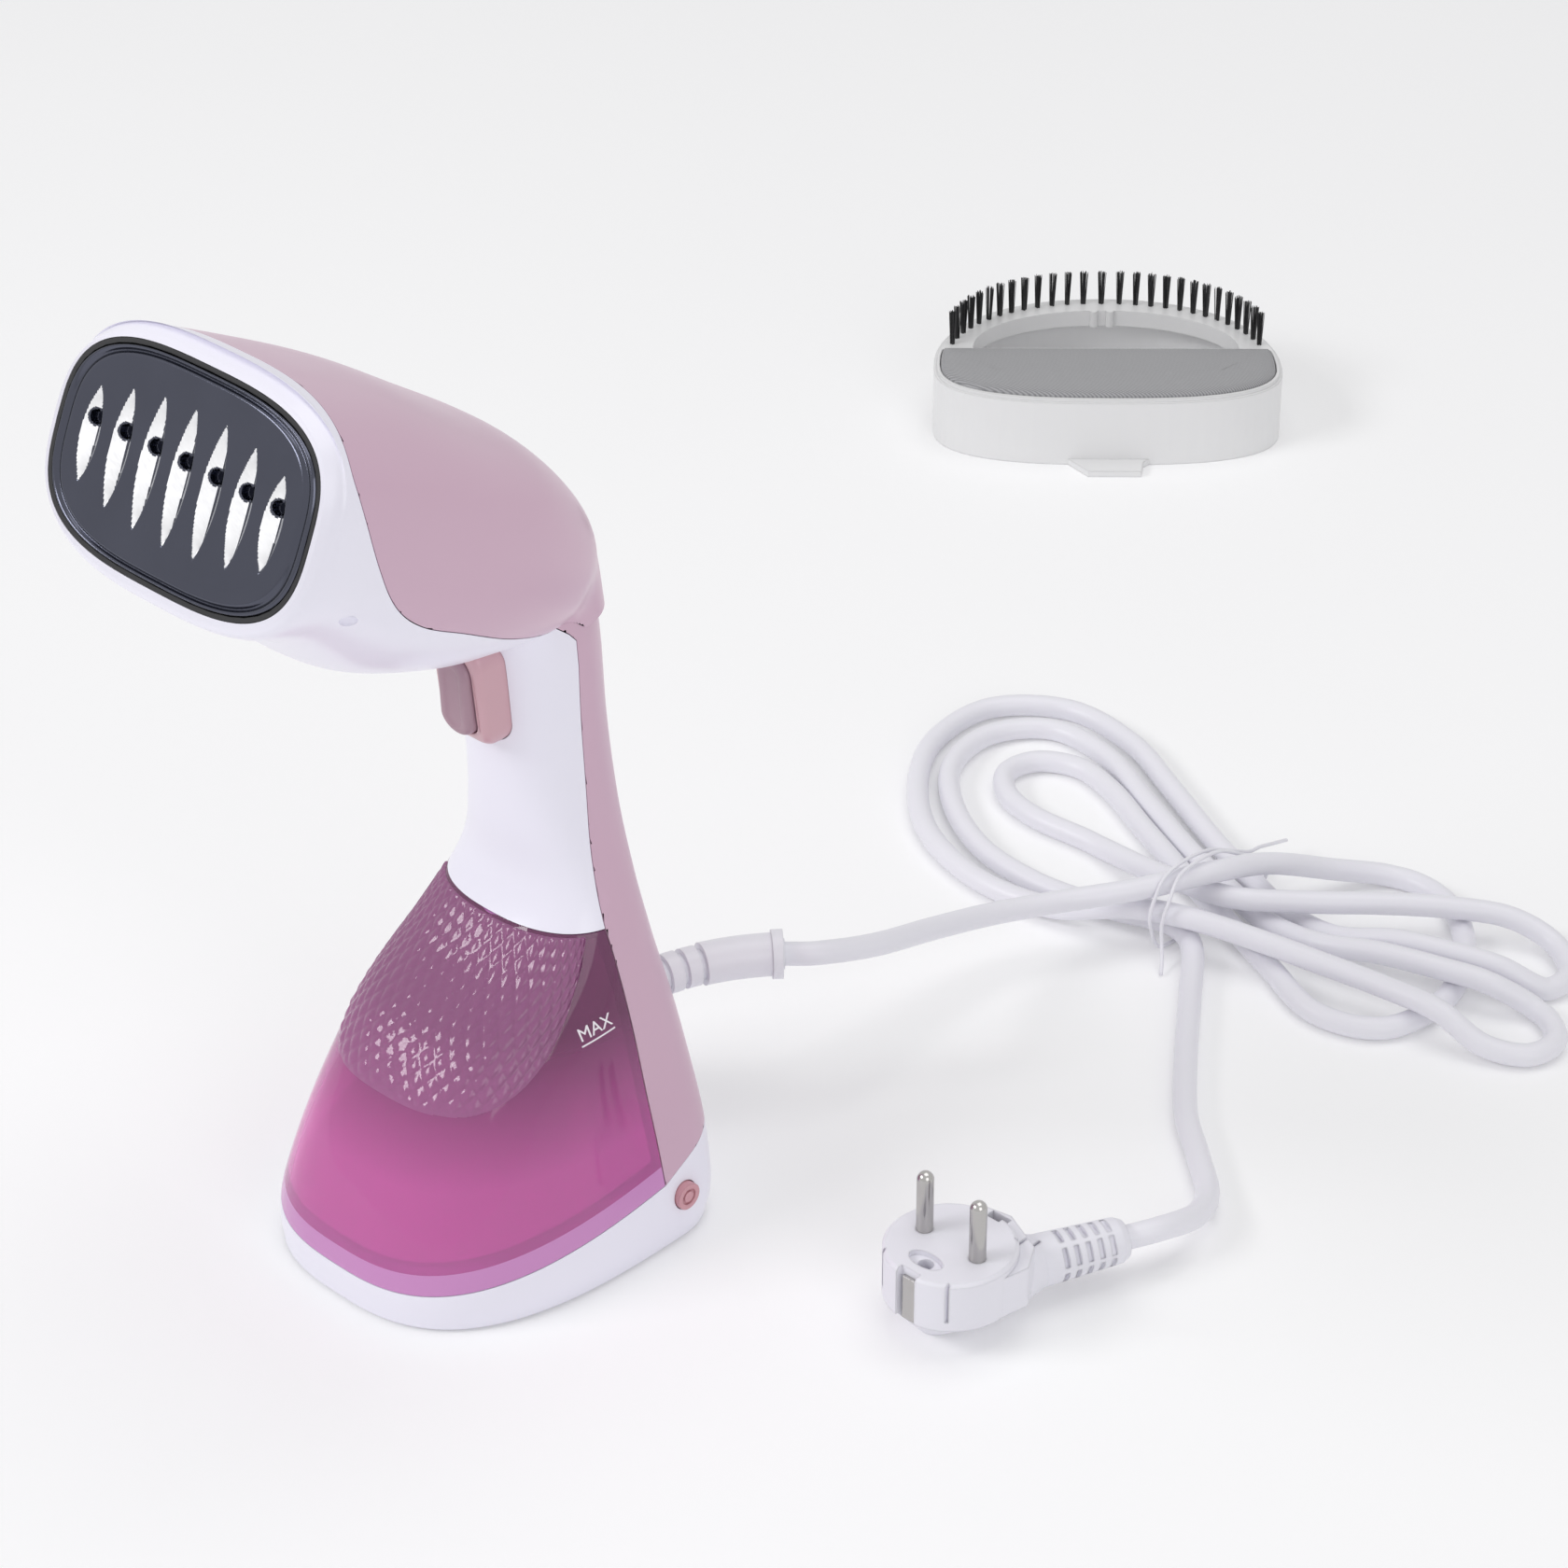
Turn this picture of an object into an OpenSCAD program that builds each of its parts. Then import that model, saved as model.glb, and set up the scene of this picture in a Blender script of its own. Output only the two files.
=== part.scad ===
// Handheld garment steamer: pedestal base, slide-out water tank, hollow handle, steam head,
// mains lead with plug, and a clip-on brush lying beside it.
// The origin lies on the floor below the handle. +Z is up, +X is the width and the steam face
// looks towards -Y. All sizes are in millimetres and angles in degrees.

/* [Base] */
// Greatest width of the base
base_w = 104; // [98:1:110]
// Reach of the base in front of the origin
base_front = 75; // [70:1:80]
// Reach of the base behind the origin
base_back = 33; // [31:1:36]
// Height of the base's edge at the front
base_front_h = 11; // [9:0.5:13]
// Height of the deck at the tank's rear wall
deck_h = 21.5; // [19:0.5:24]
// Height of the base's edge at the back
base_back_h = 35; // [32:1:38]
// Height of the rubber feet below the base
foot_h = 1; // [0.6:0.2:1.6]
// Diameter of a rubber foot
foot_d = 11; // [8:1:14]

/* [Tank] */
// Height of the seam between the tank and the handle
tank_top = 97; // [92:1:102]
// Thickness of the tank's wall
tank_wall = 2.2; // [1.8:0.1:2.6]
// Height of the pale band under the tank
band_h = 5.8; // [4.6:0.2:7]
// Diameter of the filler opening
filler_d = 13; // [11:0.5:14]
// Diameter of the outlet valve's spigot
valve_d = 10; // [8:0.5:11]

/* [Handle] */
// Width of the grip
handle_w = 37; // [35:0.5:40]
// Reach of the grip in front of the origin
handle_front = 12; // [11:0.5:14]
// Reach of the grip behind the origin
handle_back = 24; // [23:0.5:26]
// Length of the grip from the tank seam to the head
handle_h = 83; // [78:1:90]

/* [Head] */
// Greatest width of the head
head_w = 100; // [97:1:106]
// Distance from the origin forward to the middle of the steam face
head_reach = 107; // [100:1:112]
// Height of the steam face's middle above the top of the grip
head_rise = 87; // [83:1:92]
// Backward tilt of the steam face
face_tilt = 24; // [21:1:27]
// Width of the steam plate
plate_w = 90; // [84:1:92]
// Height of the steam plate
plate_h = 54; // [50:1:56]
// Thickness of the steam plate
plate_t = 2.6; // [2.2:0.1:3.2]
// Number of pressed channels, each with one steam hole
channels = 7; // [5:1:8]
// Diameter of a steam hole
hole_d = 3.4; // [2.4:0.2:4]
// Width of the dark gasket round the plate
gasket_w = 1.3; // [1:0.1:1.6]

/* [Shell] */
// Wall thickness of the moulded shells
wall = 2.2; // [1.8:0.1:2.6]
// Running clearance between neighbouring pieces
gap = 0.3; // [0.2:0.05:0.4]
// Distance of the cover's seam behind the origin
seam_y = 2; // [1:0.5:4]

/* [Controls] */
// Width of the trigger's frame
trigger_w = 18; // [16:0.5:20]
// Height of the trigger's frame
trigger_h = 33; // [30:1:35]
// Reach of the trigger's frame in front of the grip
trigger_out = 9; // [7:0.5:10]
// Diameter of a tank release button
button_d = 8; // [7:0.5:9]
// Height of a release button above the floor
button_z = 15.5; // [14.5:0.5:16]

/* [Works] */
// Diameter of the pump
pump_d = 22; // [19:0.5:23]
// Length of the pump's can
pump_l = 38; // [34:1:40]
// Outer diameter of the silicone hoses
hose_d = 6; // [5:0.5:6.5]
// Depth of the steam chamber's casting
chamber_t = 15; // [13:0.5:18]
// Diameter of the heating tube
heater_d = 6.4; // [5.6:0.2:7]

/* [Lead] */
// Diameter of the mains lead
cord_d = 7; // [6.4:0.2:7.6]
// Diameter of the lead's boot
boot_d = 12; // [11:0.5:13]
// Bending radius of the boot
boot_bend = 72; // [65:1:90]
// Height of the lead's exit above the floor
boot_z = 45; // [42:0.5:48]
// Diameter of the plug's face
plug_d = 37; // [36:0.5:39]
// Height of the plug's body
plug_h = 26; // [24:0.5:29]
// Length of a plug pin
pin_l = 19; // [18.5:0.25:19.5]
// Diameter of a plug pin
pin_d = 4.8; // [4.4:0.1:5]

/* [Brush] */
// Width of the brush attachment
brush_w = 126; // [118:1:132]
// Depth of the brush attachment, from its clip side to its arch
brush_d = 82; // [76:1:86]
// Height of the brush attachment's side wall
brush_h = 26; // [24:1:30]
// Length of the bristles
bristle_l = 13; // [10:0.5:16]
// Number of bristle tufts
tufts = 27; // [21:2:31]

/* [Hidden] */
$fn = 48;

white = "whitesmoke";
pink = [0.82, 0.69, 0.78];
magenta = [0.70, 0.36, 0.60, 0.55];
sides = 40;          // points round a moulded section
inner_sides = 28;    // points round the inside of a wall
far = 400;           // longer than anything that is cut

// ---- curves and lofts -------------------------------------------------------------------

// One step of a Catmull-Rom curve through p1 and p2
function smooth(p0, p1, p2, p3, t) =
    (2 * p1 + (p2 - p0) * t + (2 * p0 - 5 * p1 + 4 * p2 - p3) * t * t
        + (3 * p1 - p0 - 3 * p2 + p3) * t * t * t) / 2;

// Rows of numbers, or points, with steps smooth ones from each to the next
function refine(rows, steps) =
    let (n = len(rows) - 1,
         before = 2 * rows[0] - rows[1],
         after = 2 * rows[n] - rows[n - 1],
         all = concat([before], rows, [after]))
    concat([for (i = [0 : n - 1]) for (j = [0 : steps - 1])
                smooth(all[i], all[i + 1], all[i + 2], all[i + 3], j / steps)],
           [rows[n]]);

function rounded_power(v, n) = sign(v) * pow(abs(v), 2 / n);

// A closed section between two points of the side view. Row: front y, front z, back y, back z,
// half width, share of the depth that lies in front of the widest line, squareness.
function section(row, inset, count) =
    let (front = [row[0], row[1]], run = [row[2], row[3]] - front,
         dir = run / norm(run), depth = norm(run) - 2 * inset,
         widest = front + dir * (inset + depth * row[5]))
    [for (k = [0 : count - 1])
        let (a = 360 * k / count,
             side = rounded_power(cos(a), row[6]), q = rounded_power(sin(a), row[6]),
             p = widest + dir * q * depth * (q < 0 ? row[5] : 1 - row[5]))
        [(row[4] - inset) * side, p[0], p[1]]];

// A solid through rings of equally many points
module rings_solid(rings) {
    count = len(rings[0]);
    last = len(rings) - 1;
    walls = [for (i = [0 : last - 1]) for (k = [0 : count - 1])
        let (next = (k + 1) % count)
        [i * count + k, (i + 1) * count + k, (i + 1) * count + next, i * count + next]];
    bottom = [for (k = [0 : count - 1]) k];
    top = [for (k = [count - 1 : -1 : 0]) last * count + k];
    polyhedron(points = [for (r = rings) each r], faces = concat(walls, [bottom, top]));
}

module loft(rows, inset, count) rings_solid([for (r = rows) section(r, inset, count)]);

// A round tube along points. up is a direction that the tube never takes.
module tube(points, d, count, up) {
    last = len(points) - 1;
    rings_solid([for (i = [0 : last])
        let (ahead = points[min(i + 1, last)], behind = points[max(i - 1, 0)],
             along = (ahead - behind) / norm(ahead - behind),
             across = cross(along, up) / norm(cross(along, up)), rise = cross(across, along))
        [for (k = [0 : count - 1])
            points[i] + d / 2 * (across * cos(360 * k / count) - rise * sin(360 * k / count))]]);
}

// A coil spring that stands on the XY plane
module spring(d, wire, turns, length) {
    steps = 8;
    tube([for (i = [0 : turns * steps])
            [(d - wire) / 2 * cos(360 * i / steps), (d - wire) / 2 * sin(360 * i / steps),
             wire / 2 + (length - wire) * i / (turns * steps)]],
        wire, 6, [0, 0, 1]);
}

// Renders a free-form piece as one mesh
module moulded() resize([0, 0, 0]) children();

// Extrudes a side view, given as y and z, across the whole width
module side_view(points, width = far)
    rotate([90, 0, 90]) linear_extrude(width, center = true) polygon(points);

// Closed outline of a rounded rectangle with sides bulged like a cushion
function cushion(w, h, n, count) =
    [for (k = [0 : count - 1])
        let (a = 360 * k / count)
        [w / 2 * rounded_power(cos(a), n), h / 2 * rounded_power(sin(a), n)]];

module capsule(w, h, r) {
    hull() for (x = [-1, 1], y = [-1, 1])
        translate([x * (w / 2 - r), y * (h / 2 - r)]) circle(r, $fn = 32);
}

// ---- outer form -------------------------------------------------------------------------

neck_z = tank_top + handle_h;

// How far a size of the pedestal has spread from the grip to the base
function spread(grip, base, share) = grip + (base - grip) * share;

// Pedestal and grip. Row: height, share of the spread in front, share at the back,
// share of the spread in width, share of the depth before the widest line, squareness.
pedestal_levels = [
    [0,                        1,     1,    0.955, 0.74, 2.8],
    [tank_top * 0.12,          1,     1,    1,     0.77, 2.8],
    [tank_top * 0.31,          0.93,  0.94, 0.90,  0.80, 2.7],
    [tank_top * 0.52,          0.77,  0.78, 0.745, 0.78, 2.7],
    [tank_top * 0.72,          0.55,  0.61, 0.60,  0.72, 2.6],
    [tank_top * 0.91,          0.15,  0.28, 0.43,  0.62, 2.5],
    [tank_top + handle_h * 0.1,  -0.05, 0.11, 0.25,  0.55, 2.4],
    [tank_top + handle_h * 0.34, -0.04, 0.11, 0.075, 0.51, 2.4],
    [tank_top + handle_h * 0.64, 0,     0,    0,     0.50, 2.3],
    [neck_z,                   0.04,  -0.22, 0,    0.50, 2.3],
    [neck_z + handle_h * 0.3,  0.11,  -0.78, 0.015, 0.50, 2.3]];
pedestal_rows = [for (l = pedestal_levels)
    let (front = spread(handle_front, base_front, l[1]),
         back = spread(handle_back, base_back, l[2]),
         half = spread(handle_w, base_w, l[3]) / 2)
    [-front, l[0], back, l[0], half, l[4], l[5]]];

// The steam face's own frame: x across, y up the face, z out of it
face_z = neck_z + head_rise;
module at_face() translate([0, -head_reach, face_z]) rotate([90 - face_tilt, 0, 0]) children();

// A section parallel to the steam face, depth behind it
function face_row(depth, half_w, half_h) =
    let (y = -head_reach + depth * cos(face_tilt), z = face_z - depth * sin(face_tilt))
    [y - half_h * sin(face_tilt), z - half_h * cos(face_tilt),
     y + half_h * sin(face_tilt), z + half_h * cos(face_tilt), half_w, 0.5, 2.9];

// Head, from inside the neck to the face. Row: the underside's place and the top line's place
// as shares of the head's reach and rise, half width, squareness.
head_levels = [
    [-0.02, 0.02, -0.19, 0.11, handle_w * 0.52, 2.3],
    [0.04,  0.05, -0.15, 0.33, handle_w * 0.61, 2.3],
    [0.15,  0.08, -0.07, 0.53, head_w * 0.31,   2.3],
    [0.32,  0.13, 0.09,  0.75, head_w * 0.38,   2.4],
    [0.52,  0.20, 0.30,  0.94, head_w * 0.43,   2.5],
    [0.77,  0.34, 0.53,  1.13, head_w * 0.465,  2.6],
    [0.96,  0.55, 0.83,  1.32, head_w * 0.5,    2.8]];
rim = gasket_w + 1.2;    // from the plate's edge to the bezel's front edge
shoulder = 4;            // depth over which the bezel's edge rounds away
function head_rows(inset) = concat(
    [for (l = head_levels)
        [-l[0] * head_reach, neck_z + l[1] * head_rise,
         -l[2] * head_reach, neck_z + l[3] * head_rise, l[4], 0.5, l[5]]],
    [face_row(shoulder, plate_w / 2 + rim + 1.8, plate_h / 2 + rim + 3.2),
     face_row(inset, plate_w / 2 + rim, plate_h / 2 + rim + 0.6)]);

fine_pedestal = refine(pedestal_rows, 3);
coarse_pedestal = refine(pedestal_rows, 2);
function pedestal_at(z) = [for (i = [0 : 6])
    i == 1 || i == 3 ? z : lookup(z, [for (r = fine_pedestal) [r[1], r[i]]])];
// Flat outline of the pedestal at a height
function outline_at(z, inset) = [for (p = section(pedestal_at(z), inset, sides)) [p[0], p[1]]];

module pedestal(inset = 0) {
    if (inset == 0) loft(fine_pedestal, 0, sides);
    else loft(coarse_pedestal, inset, inner_sides);
}
module head(inset = 0) {
    if (inset == 0) loft(refine(head_rows(0), 3), 0, sides);
    else loft(refine(head_rows(inset), 2), inset, inner_sides);
}
module skin(inset = 0) {
    pedestal(inset);
    head(inset);
}

// ---- seams, in the side view ------------------------------------------------------------

deck_slope = (deck_h - base_front_h) / (base_front + seam_y);
heel_slope = (base_back_h - deck_h) / (base_back - seam_y);
// The top edge of the base, raised by lift
function base_edge(lift) = [
    [-far, deck_h - deck_slope * (far + seam_y) + lift], [seam_y, deck_h + lift],
    [far, deck_h + heel_slope * (far - seam_y) + lift]];
// The deck's height at a y in front of the seam
function deck_at(y) = deck_h - deck_slope * (seam_y - y);

// The edge of the back cover, from the base up the grip and forward along the head.
// The head's part is given as shares of its reach and rise.
function on_head(reach, rise) = [-reach * head_reach, neck_z + rise * head_rise];
cover_edge = concat(
    [[seam_y, 0], [seam_y, tank_top]],
    refine([[seam_y + 1.5, tank_top + handle_h * 0.2], [seam_y + 3.5, tank_top + handle_h * 0.5],
            [seam_y + 3, neck_z - handle_h * 0.08]], 3),
    [on_head(-0.04, 0.02), on_head(-0.015, 0.055)],
    refine([on_head(0.03, 0.1), on_head(0.3, 0.28), on_head(0.51, 0.44), on_head(0.67, 0.56),
            on_head(0.77, 0.69), on_head(0.83, 0.86), on_head(0.87, 1.08), on_head(0.86, 1.2),
            on_head(0.78, 1.34), on_head(0.70, 1.45)], 3));
module cover_side()
    side_view(concat(cover_edge, [[-head_reach * 0.5, far], [far, far], [far, 0]]));

module above(z) translate([-far / 2, -far / 2, z]) cube(far);

// ---- base -------------------------------------------------------------------------------

base_posts = [for (sx = [-1, 1], p = [[0.27, -0.40 * base_front], [0.27, 0.62 * base_back]])
    [sx * p[0] * base_w, p[1]]];
foot_places = [for (sx = [-1, 1], p = [[0.33, -0.62 * base_front], [0.36, 0.40 * base_back]])
    [sx * p[0] * base_w, p[1]]];
plate_z = foot_h;            // underside of the base
plate_thick = 2.2;
screw_head = 1.2;            // height of a screw's head
button_y = seam_y + 6.5;
button_flange = 2.6;         // how far the button's flange stands out round it
button_seat = base_w / 2 - 8;    // x of the flange's inner face at rest
button_travel = 2;
spring_room = 5;             // length of the button's spring at rest

module base_housing() color(white) moulded() difference() {
    intersection() {
        union() {
            difference() {
                pedestal();
                intersection() {
                    pedestal(wall);
                    side_view(concat([[-far, 0]], base_deck_underside(), [[far, 0]]));
                }
            }
            intersection() {
                pedestal(wall / 2);
                union() {
                    for (p = base_posts) translate([p[0], p[1], plate_z + plate_thick])
                        cylinder(d = 7, h = deck_at(min(p[1], 0)) - plate_z - plate_thick, $fn = 24);
                    for (sx = [-1, 1]) {
                        // ribs from the rear posts to the wall
                        translate([sx * base_w * 0.39, 0.62 * base_back, deck_h / 2 + plate_thick])
                            cube([base_w * 0.24, wall, deck_h - plate_thick - 6], center = true);
                        // stops behind the button springs
                        translate([sx * (button_seat - spring_room - wall / 2), button_y,
                                   deck_h / 2 + plate_thick])
                            cube([wall, 10, deck_h - plate_thick - 4], center = true);
                        translate([sx * (button_seat - spring_room - wall / 2), seam_y,
                                   deck_h - wall])
                            cube([wall, 10, 2 * wall], center = true);
                    }
                }
            }
        }
        side_view(concat([[-far, plate_z]], base_edge(0), [[far, plate_z]]));
    }
    for (p = base_posts) translate([p[0], p[1], 0]) cylinder(d = 2.4, h = 12, $fn = 16);
    for (sx = [-1, 1]) translate([sx * base_w / 2, button_y, button_z]) rotate([0, 90, 0])
        cylinder(d = button_d + 2 * gap, h = 16, center = true, $fn = 32);
}
// Below the deck the base is hollow; behind the tank it is open to the cover
function base_deck_underside() = [
    [-far, deck_at(-far) - wall], [seam_y, deck_h - wall], [seam_y, far], [far, far]];

module base_plate() color(white) difference() {
    translate([0, 0, plate_z]) linear_extrude(plate_thick)
        polygon(outline_at(plate_z, wall + 2 * gap));
    for (p = base_posts) translate([p[0], p[1], 0]) {
        cylinder(d = 3.4, h = 20);
        cylinder(d = 6.4, h = plate_z + screw_head);
    }
    for (p = foot_places) translate([p[0], p[1], 0]) cylinder(d = foot_d / 2, h = 20);
}

module feet() color([0.25, 0.25, 0.27]) for (p = foot_places) translate([p[0], p[1], 0]) {
    cylinder(d = foot_d, h = foot_h);
    cylinder(d = foot_d / 2 - 0.2, h = plate_z + plate_thick);
}

module screw(head_d, d, length) {
    difference() {
        cylinder(d = head_d, h = screw_head);
        for (a = [0, 90]) rotate(a) cube([head_d * 0.6, 0.7, 1.2], center = true);
    }
    cylinder(d = d, h = length);
}

module base_screws() color("silver")
    for (p = base_posts) translate([p[0], p[1], plate_z]) screw(5.4, 2.3, 9);

// Round button on the base's side, with a retaining flange. It points along +X.
module button() {
    top = base_w / 2 + 1;
    rotate([0, 90, 0]) {
        difference() {
            translate([0, 0, button_seat]) cylinder(d = button_d, h = top - button_seat);
            translate([0, 0, top - 0.6]) difference() {
                cylinder(d = button_d * 0.62, h = 2);
                cylinder(d = button_d * 0.42, h = 2);
            }
        }
        translate([0, 0, button_seat]) cylinder(d = button_d + 2 * button_flange, h = 1.6);
        translate([0, 0, button_seat - 1.6]) cylinder(d = button_d * 0.4, h = 1.8);
    }
}
module button_right() color([0.80, 0.60, 0.65]) translate([0, button_y, button_z]) button();
module button_left() color([0.80, 0.60, 0.65]) mirror([1, 0, 0])
    translate([0, button_y, button_z]) button();

module button_spring_right() color("silver") translate([button_seat - spring_room, button_y, button_z])
    rotate([0, 90, 0]) spring(button_d * 0.75, 0.7, 4, spring_room);
module button_spring_left() color("silver") mirror([1, 0, 0]) button_spring_right();

// ---- water tank -------------------------------------------------------------------------

tank_back = seam_y - gap;
tank_roof = tank_top - gap;
tank_floor = gap + band_h;     // above the deck
filler_y = (lookup(tank_roof, [for (r = fine_pedestal) [r[1], r[0]]]) + seam_y) / 2;
valve_z = deck_h + tank_floor + tank_wall + valve_d / 2 + 3;

// The tank's side view, shrunk by inset, from lift above the deck
module tank_side(inset, lift) side_view([
    [-far, deck_at(-far) + lift], [tank_back - inset, deck_at(tank_back - inset) + lift],
    [tank_back - inset, tank_roof - inset], [-far, tank_roof - inset]]);

module water_tank() color(magenta) moulded() difference() {
    intersection() {
        pedestal();
        tank_side(0, tank_floor);
    }
    intersection() {
        pedestal(tank_wall);
        tank_side(tank_wall, tank_floor + tank_wall);
    }
    translate([0, filler_y, tank_top - 10]) cylinder(d = filler_d, h = 20, $fn = 32);
    translate([0, filler_y, tank_roof - 1]) cylinder(d = filler_d + 3, h = 20, $fn = 32);
    translate([0, tank_back - 2 * tank_wall, valve_z]) rotate([-90, 0, 0])
        cylinder(d = valve_d + 0.2, h = 20, $fn = 32);
}

module tank_band() color([0.85, 0.63, 0.82]) moulded() difference() {
    intersection() {
        pedestal();
        side_view([[-far, deck_at(-far) + gap], [tank_back, deck_at(tank_back) + gap],
                   [tank_back, deck_at(tank_back) + tank_floor], [-far, deck_at(-far) + tank_floor]]);
    }
    intersection() {
        pedestal(3 * tank_wall);
        side_view([[-far, deck_at(-far) + gap + 2], [tank_back - 3 * tank_wall, deck_h + gap + 2],
                   [tank_back - 3 * tank_wall, far], [-far, far]]);
    }
}

module filler_plug() color([0.75, 0.6, 0.7]) translate([0, filler_y, 0]) {
    translate([0, 0, tank_roof - 1]) cylinder(d = filler_d + 2.6, h = 0.9);
    translate([0, 0, tank_roof - 6]) difference() {
        cylinder(d = filler_d - 0.2, h = 5.5);
        translate([0, 0, -1]) cylinder(d = filler_d - 4, h = 4.5);
    }
}

module tank_valve() color(white) translate([0, 0, valve_z]) rotate([-90, 0, 0]) difference() {
    union() {
        translate([0, 0, tank_back - tank_wall - 2]) cylinder(d = valve_d + 5, h = 2);
        translate([0, 0, tank_back - tank_wall - 5]) cylinder(d = valve_d, h = tank_wall + 12);
    }
    translate([0, 0, tank_back - tank_wall - 6]) cylinder(d = valve_d * 0.4, h = tank_wall + 20);
}

// The suction tube arches from the valve to the filter on the tank's floor
valve_front = tank_back - tank_wall - 5;
filter_at = [base_w * 0.27, valve_front - 3];
filter_bottom = deck_at(filter_at[1] + 4) + tank_floor + tank_wall + gap;
filter_h = 9;
filter_top = [filter_at[0], filter_at[1], filter_bottom + filter_h];
tube_path = concat([[0, valve_front - 0.2, valve_z]], refine([
    [0, valve_front - 3, valve_z], [4, valve_front - 8, valve_z + 6],
    [11, valve_front - 7, valve_z + 13], [20, valve_front - 4, valve_z + 13],
    filter_top + [-1, 0, 8], filter_top + [0, 0, 3]], 3), [filter_top + [0, 0, 0.2]]);
module suction_tube() color([0.9, 0.8, 0.88, 0.8]) tube(tube_path, 4.4, 10, [1, 1, 0]);

module suction_filter() color([0.8, 0.72, 0.78]) translate([filter_at[0], filter_at[1], filter_bottom]) {
    cylinder(d = 5, h = filter_h);
    for (i = [0 : 3]) translate([0, 0, i * (filter_h - 1.2) / 3]) cylinder(d = 8, h = 1.2);
}

// ---- dock behind the tank ---------------------------------------------------------------

dock_front = seam_y + 0.2;
dock_back = dock_front + wall;
dock_levels = [for (i = [0 : 8]) deck_h + 0.2 + (tank_top - deck_h - 0.2) * i / 8];
function dock_half(z) = pedestal_at(z)[4] - wall - 1;
board_z = 68;               // middle of the control board
board_w = 40;
board_h = 42;
board_y = dock_back + 4;
board_posts = [for (sx = [-1, 1], sz = [-1, 1])
    [sx * (board_w / 2 - 4), board_z + sz * (board_h / 2 - 4)]];

module dock_wall() color([0.93, 0.92, 0.95]) {
    difference() {
        union() {
            translate([0, dock_back, 0]) rotate([90, 0, 0]) linear_extrude(wall)
                polygon(concat([for (z = dock_levels) [dock_half(z), z]],
                               [for (i = [8 : -1 : 0]) [-dock_half(dock_levels[i]), dock_levels[i]]]));
            translate([0, 0, tank_top]) linear_extrude(wall)
                polygon(outline_at(tank_top + wall, wall + gap));
            for (p = board_posts) translate([p[0], dock_back - 1, p[1]])
                rotate([-90, 0, 0]) cylinder(d = 5, h = board_y - dock_back + 1);
        }
        translate([0, 0, valve_z]) rotate([-90, 0, 0]) cylinder(d = valve_d + 4, h = 20);
        translate([0, pump_y + 5, tank_top]) cube([26, 18, 20], center = true);
        for (p = board_posts) translate([p[0], dock_back + 1, p[1]])
            rotate([-90, 0, 0]) cylinder(d = 1.8, h = 10);
    }
}

module dock_seal() color([0.3, 0.3, 0.32]) translate([0, dock_front, valve_z]) rotate([-90, 0, 0])
    difference() {
        cylinder(d = valve_d + 3.8, h = 3.4);
        translate([0, 0, -1]) cylinder(d = valve_d + 0.4, h = 10);
    }

connector_back = dock_back + 12;
module dock_connector() color(white) translate([0, 0, valve_z]) rotate([-90, 0, 0]) difference() {
    union() {
        translate([0, 0, dock_back]) cylinder(d = valve_d + 9, h = 1.6);
        translate([0, 0, dock_back]) cylinder(d = valve_d + 7, h = 9);
        translate([0, 0, dock_back + 8]) cylinder(d = nipple_d - 2 * gap, h = 4);
    }
    translate([0, 0, dock_back - 1]) cylinder(d = valve_d + 4, h = 3);
    translate([0, 0, dock_back - 1]) cylinder(d = valve_d + 1, h = 8.5);
    translate([0, 0, dock_back - 1]) cylinder(d = nipple_d - 1.6, h = 20);
}

pump_y = (handle_back - handle_front) / 2 + 1;
pump_z = tank_top + 9;
nipple_d = hose_d - 2.4;
inlet_y = pump_y + 4;        // the pump's inlet sits behind its middle
hose_wall = 0.9;

// A hose, cut square at both ends. up is a direction that it never takes.
module hose(points, up) moulded() difference() {
    tube(points, hose_d, 10, up);
    tube(concat([2 * points[0] - points[1]], points, [2 * points[len(points) - 1] - points[len(points) - 2]]),
        hose_d - 2 * hose_wall, 8, up);
}

suction_path = concat([[0, connector_back - 2.4, valve_z]], refine([
    [0, connector_back + 0.5, valve_z], [-6, connector_back + 3.6, valve_z + 9],
    [-9, connector_back + 3.6, board_z - 8], [-9, connector_back + 3.6, board_z + 12],
    [-3, inlet_y + 3, tank_top - 6], [0, inlet_y, tank_top]], 2), [[0, inlet_y, pump_z - 4.6]]);
module suction_hose() color([0.85, 0.85, 0.88]) hose(suction_path, [1, 0, 0]);

// ---- pump in the grip -------------------------------------------------------------------

module pump() color([0.2, 0.2, 0.22]) translate([0, pump_y, pump_z]) {
    cylinder(d = pump_d, h = pump_l);
    translate([0, 0, pump_l * 0.3]) cylinder(d = pump_d + 1.6, h = pump_l * 0.4);
    translate([0, 0, pump_l]) cylinder(d1 = pump_d * 0.7, d2 = pump_d * 0.5, h = 3);
    translate([0, 0, pump_l + 2]) cylinder(d = nipple_d, h = 5);
    translate([0, inlet_y - pump_y, -4.4]) cylinder(d = pump_d * 0.4, h = 4.6);
    translate([0, inlet_y - pump_y, -8.4]) cylinder(d = nipple_d, h = 5);
}

module pump_mounts() color([0.35, 0.35, 0.37])
    for (z = [pump_z + 1, pump_z + pump_l - 5]) difference() {
        translate([0, 0, z]) linear_extrude(4) polygon(outline_at(z + 2, wall + 3 * gap));
        translate([0, pump_y, 0]) cylinder(d = pump_d + 0.2, h = far);
        for (sx = [-1, 1]) translate([sx * wire_x, wire_y, 0]) cylinder(d = 4.6, h = far);
    }

wire_x = handle_w * 0.22;
wire_y = handle_back - wall - 3.6;
chamber_back = plate_t + chamber_t;    // depth of the casting's rear face
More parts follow.
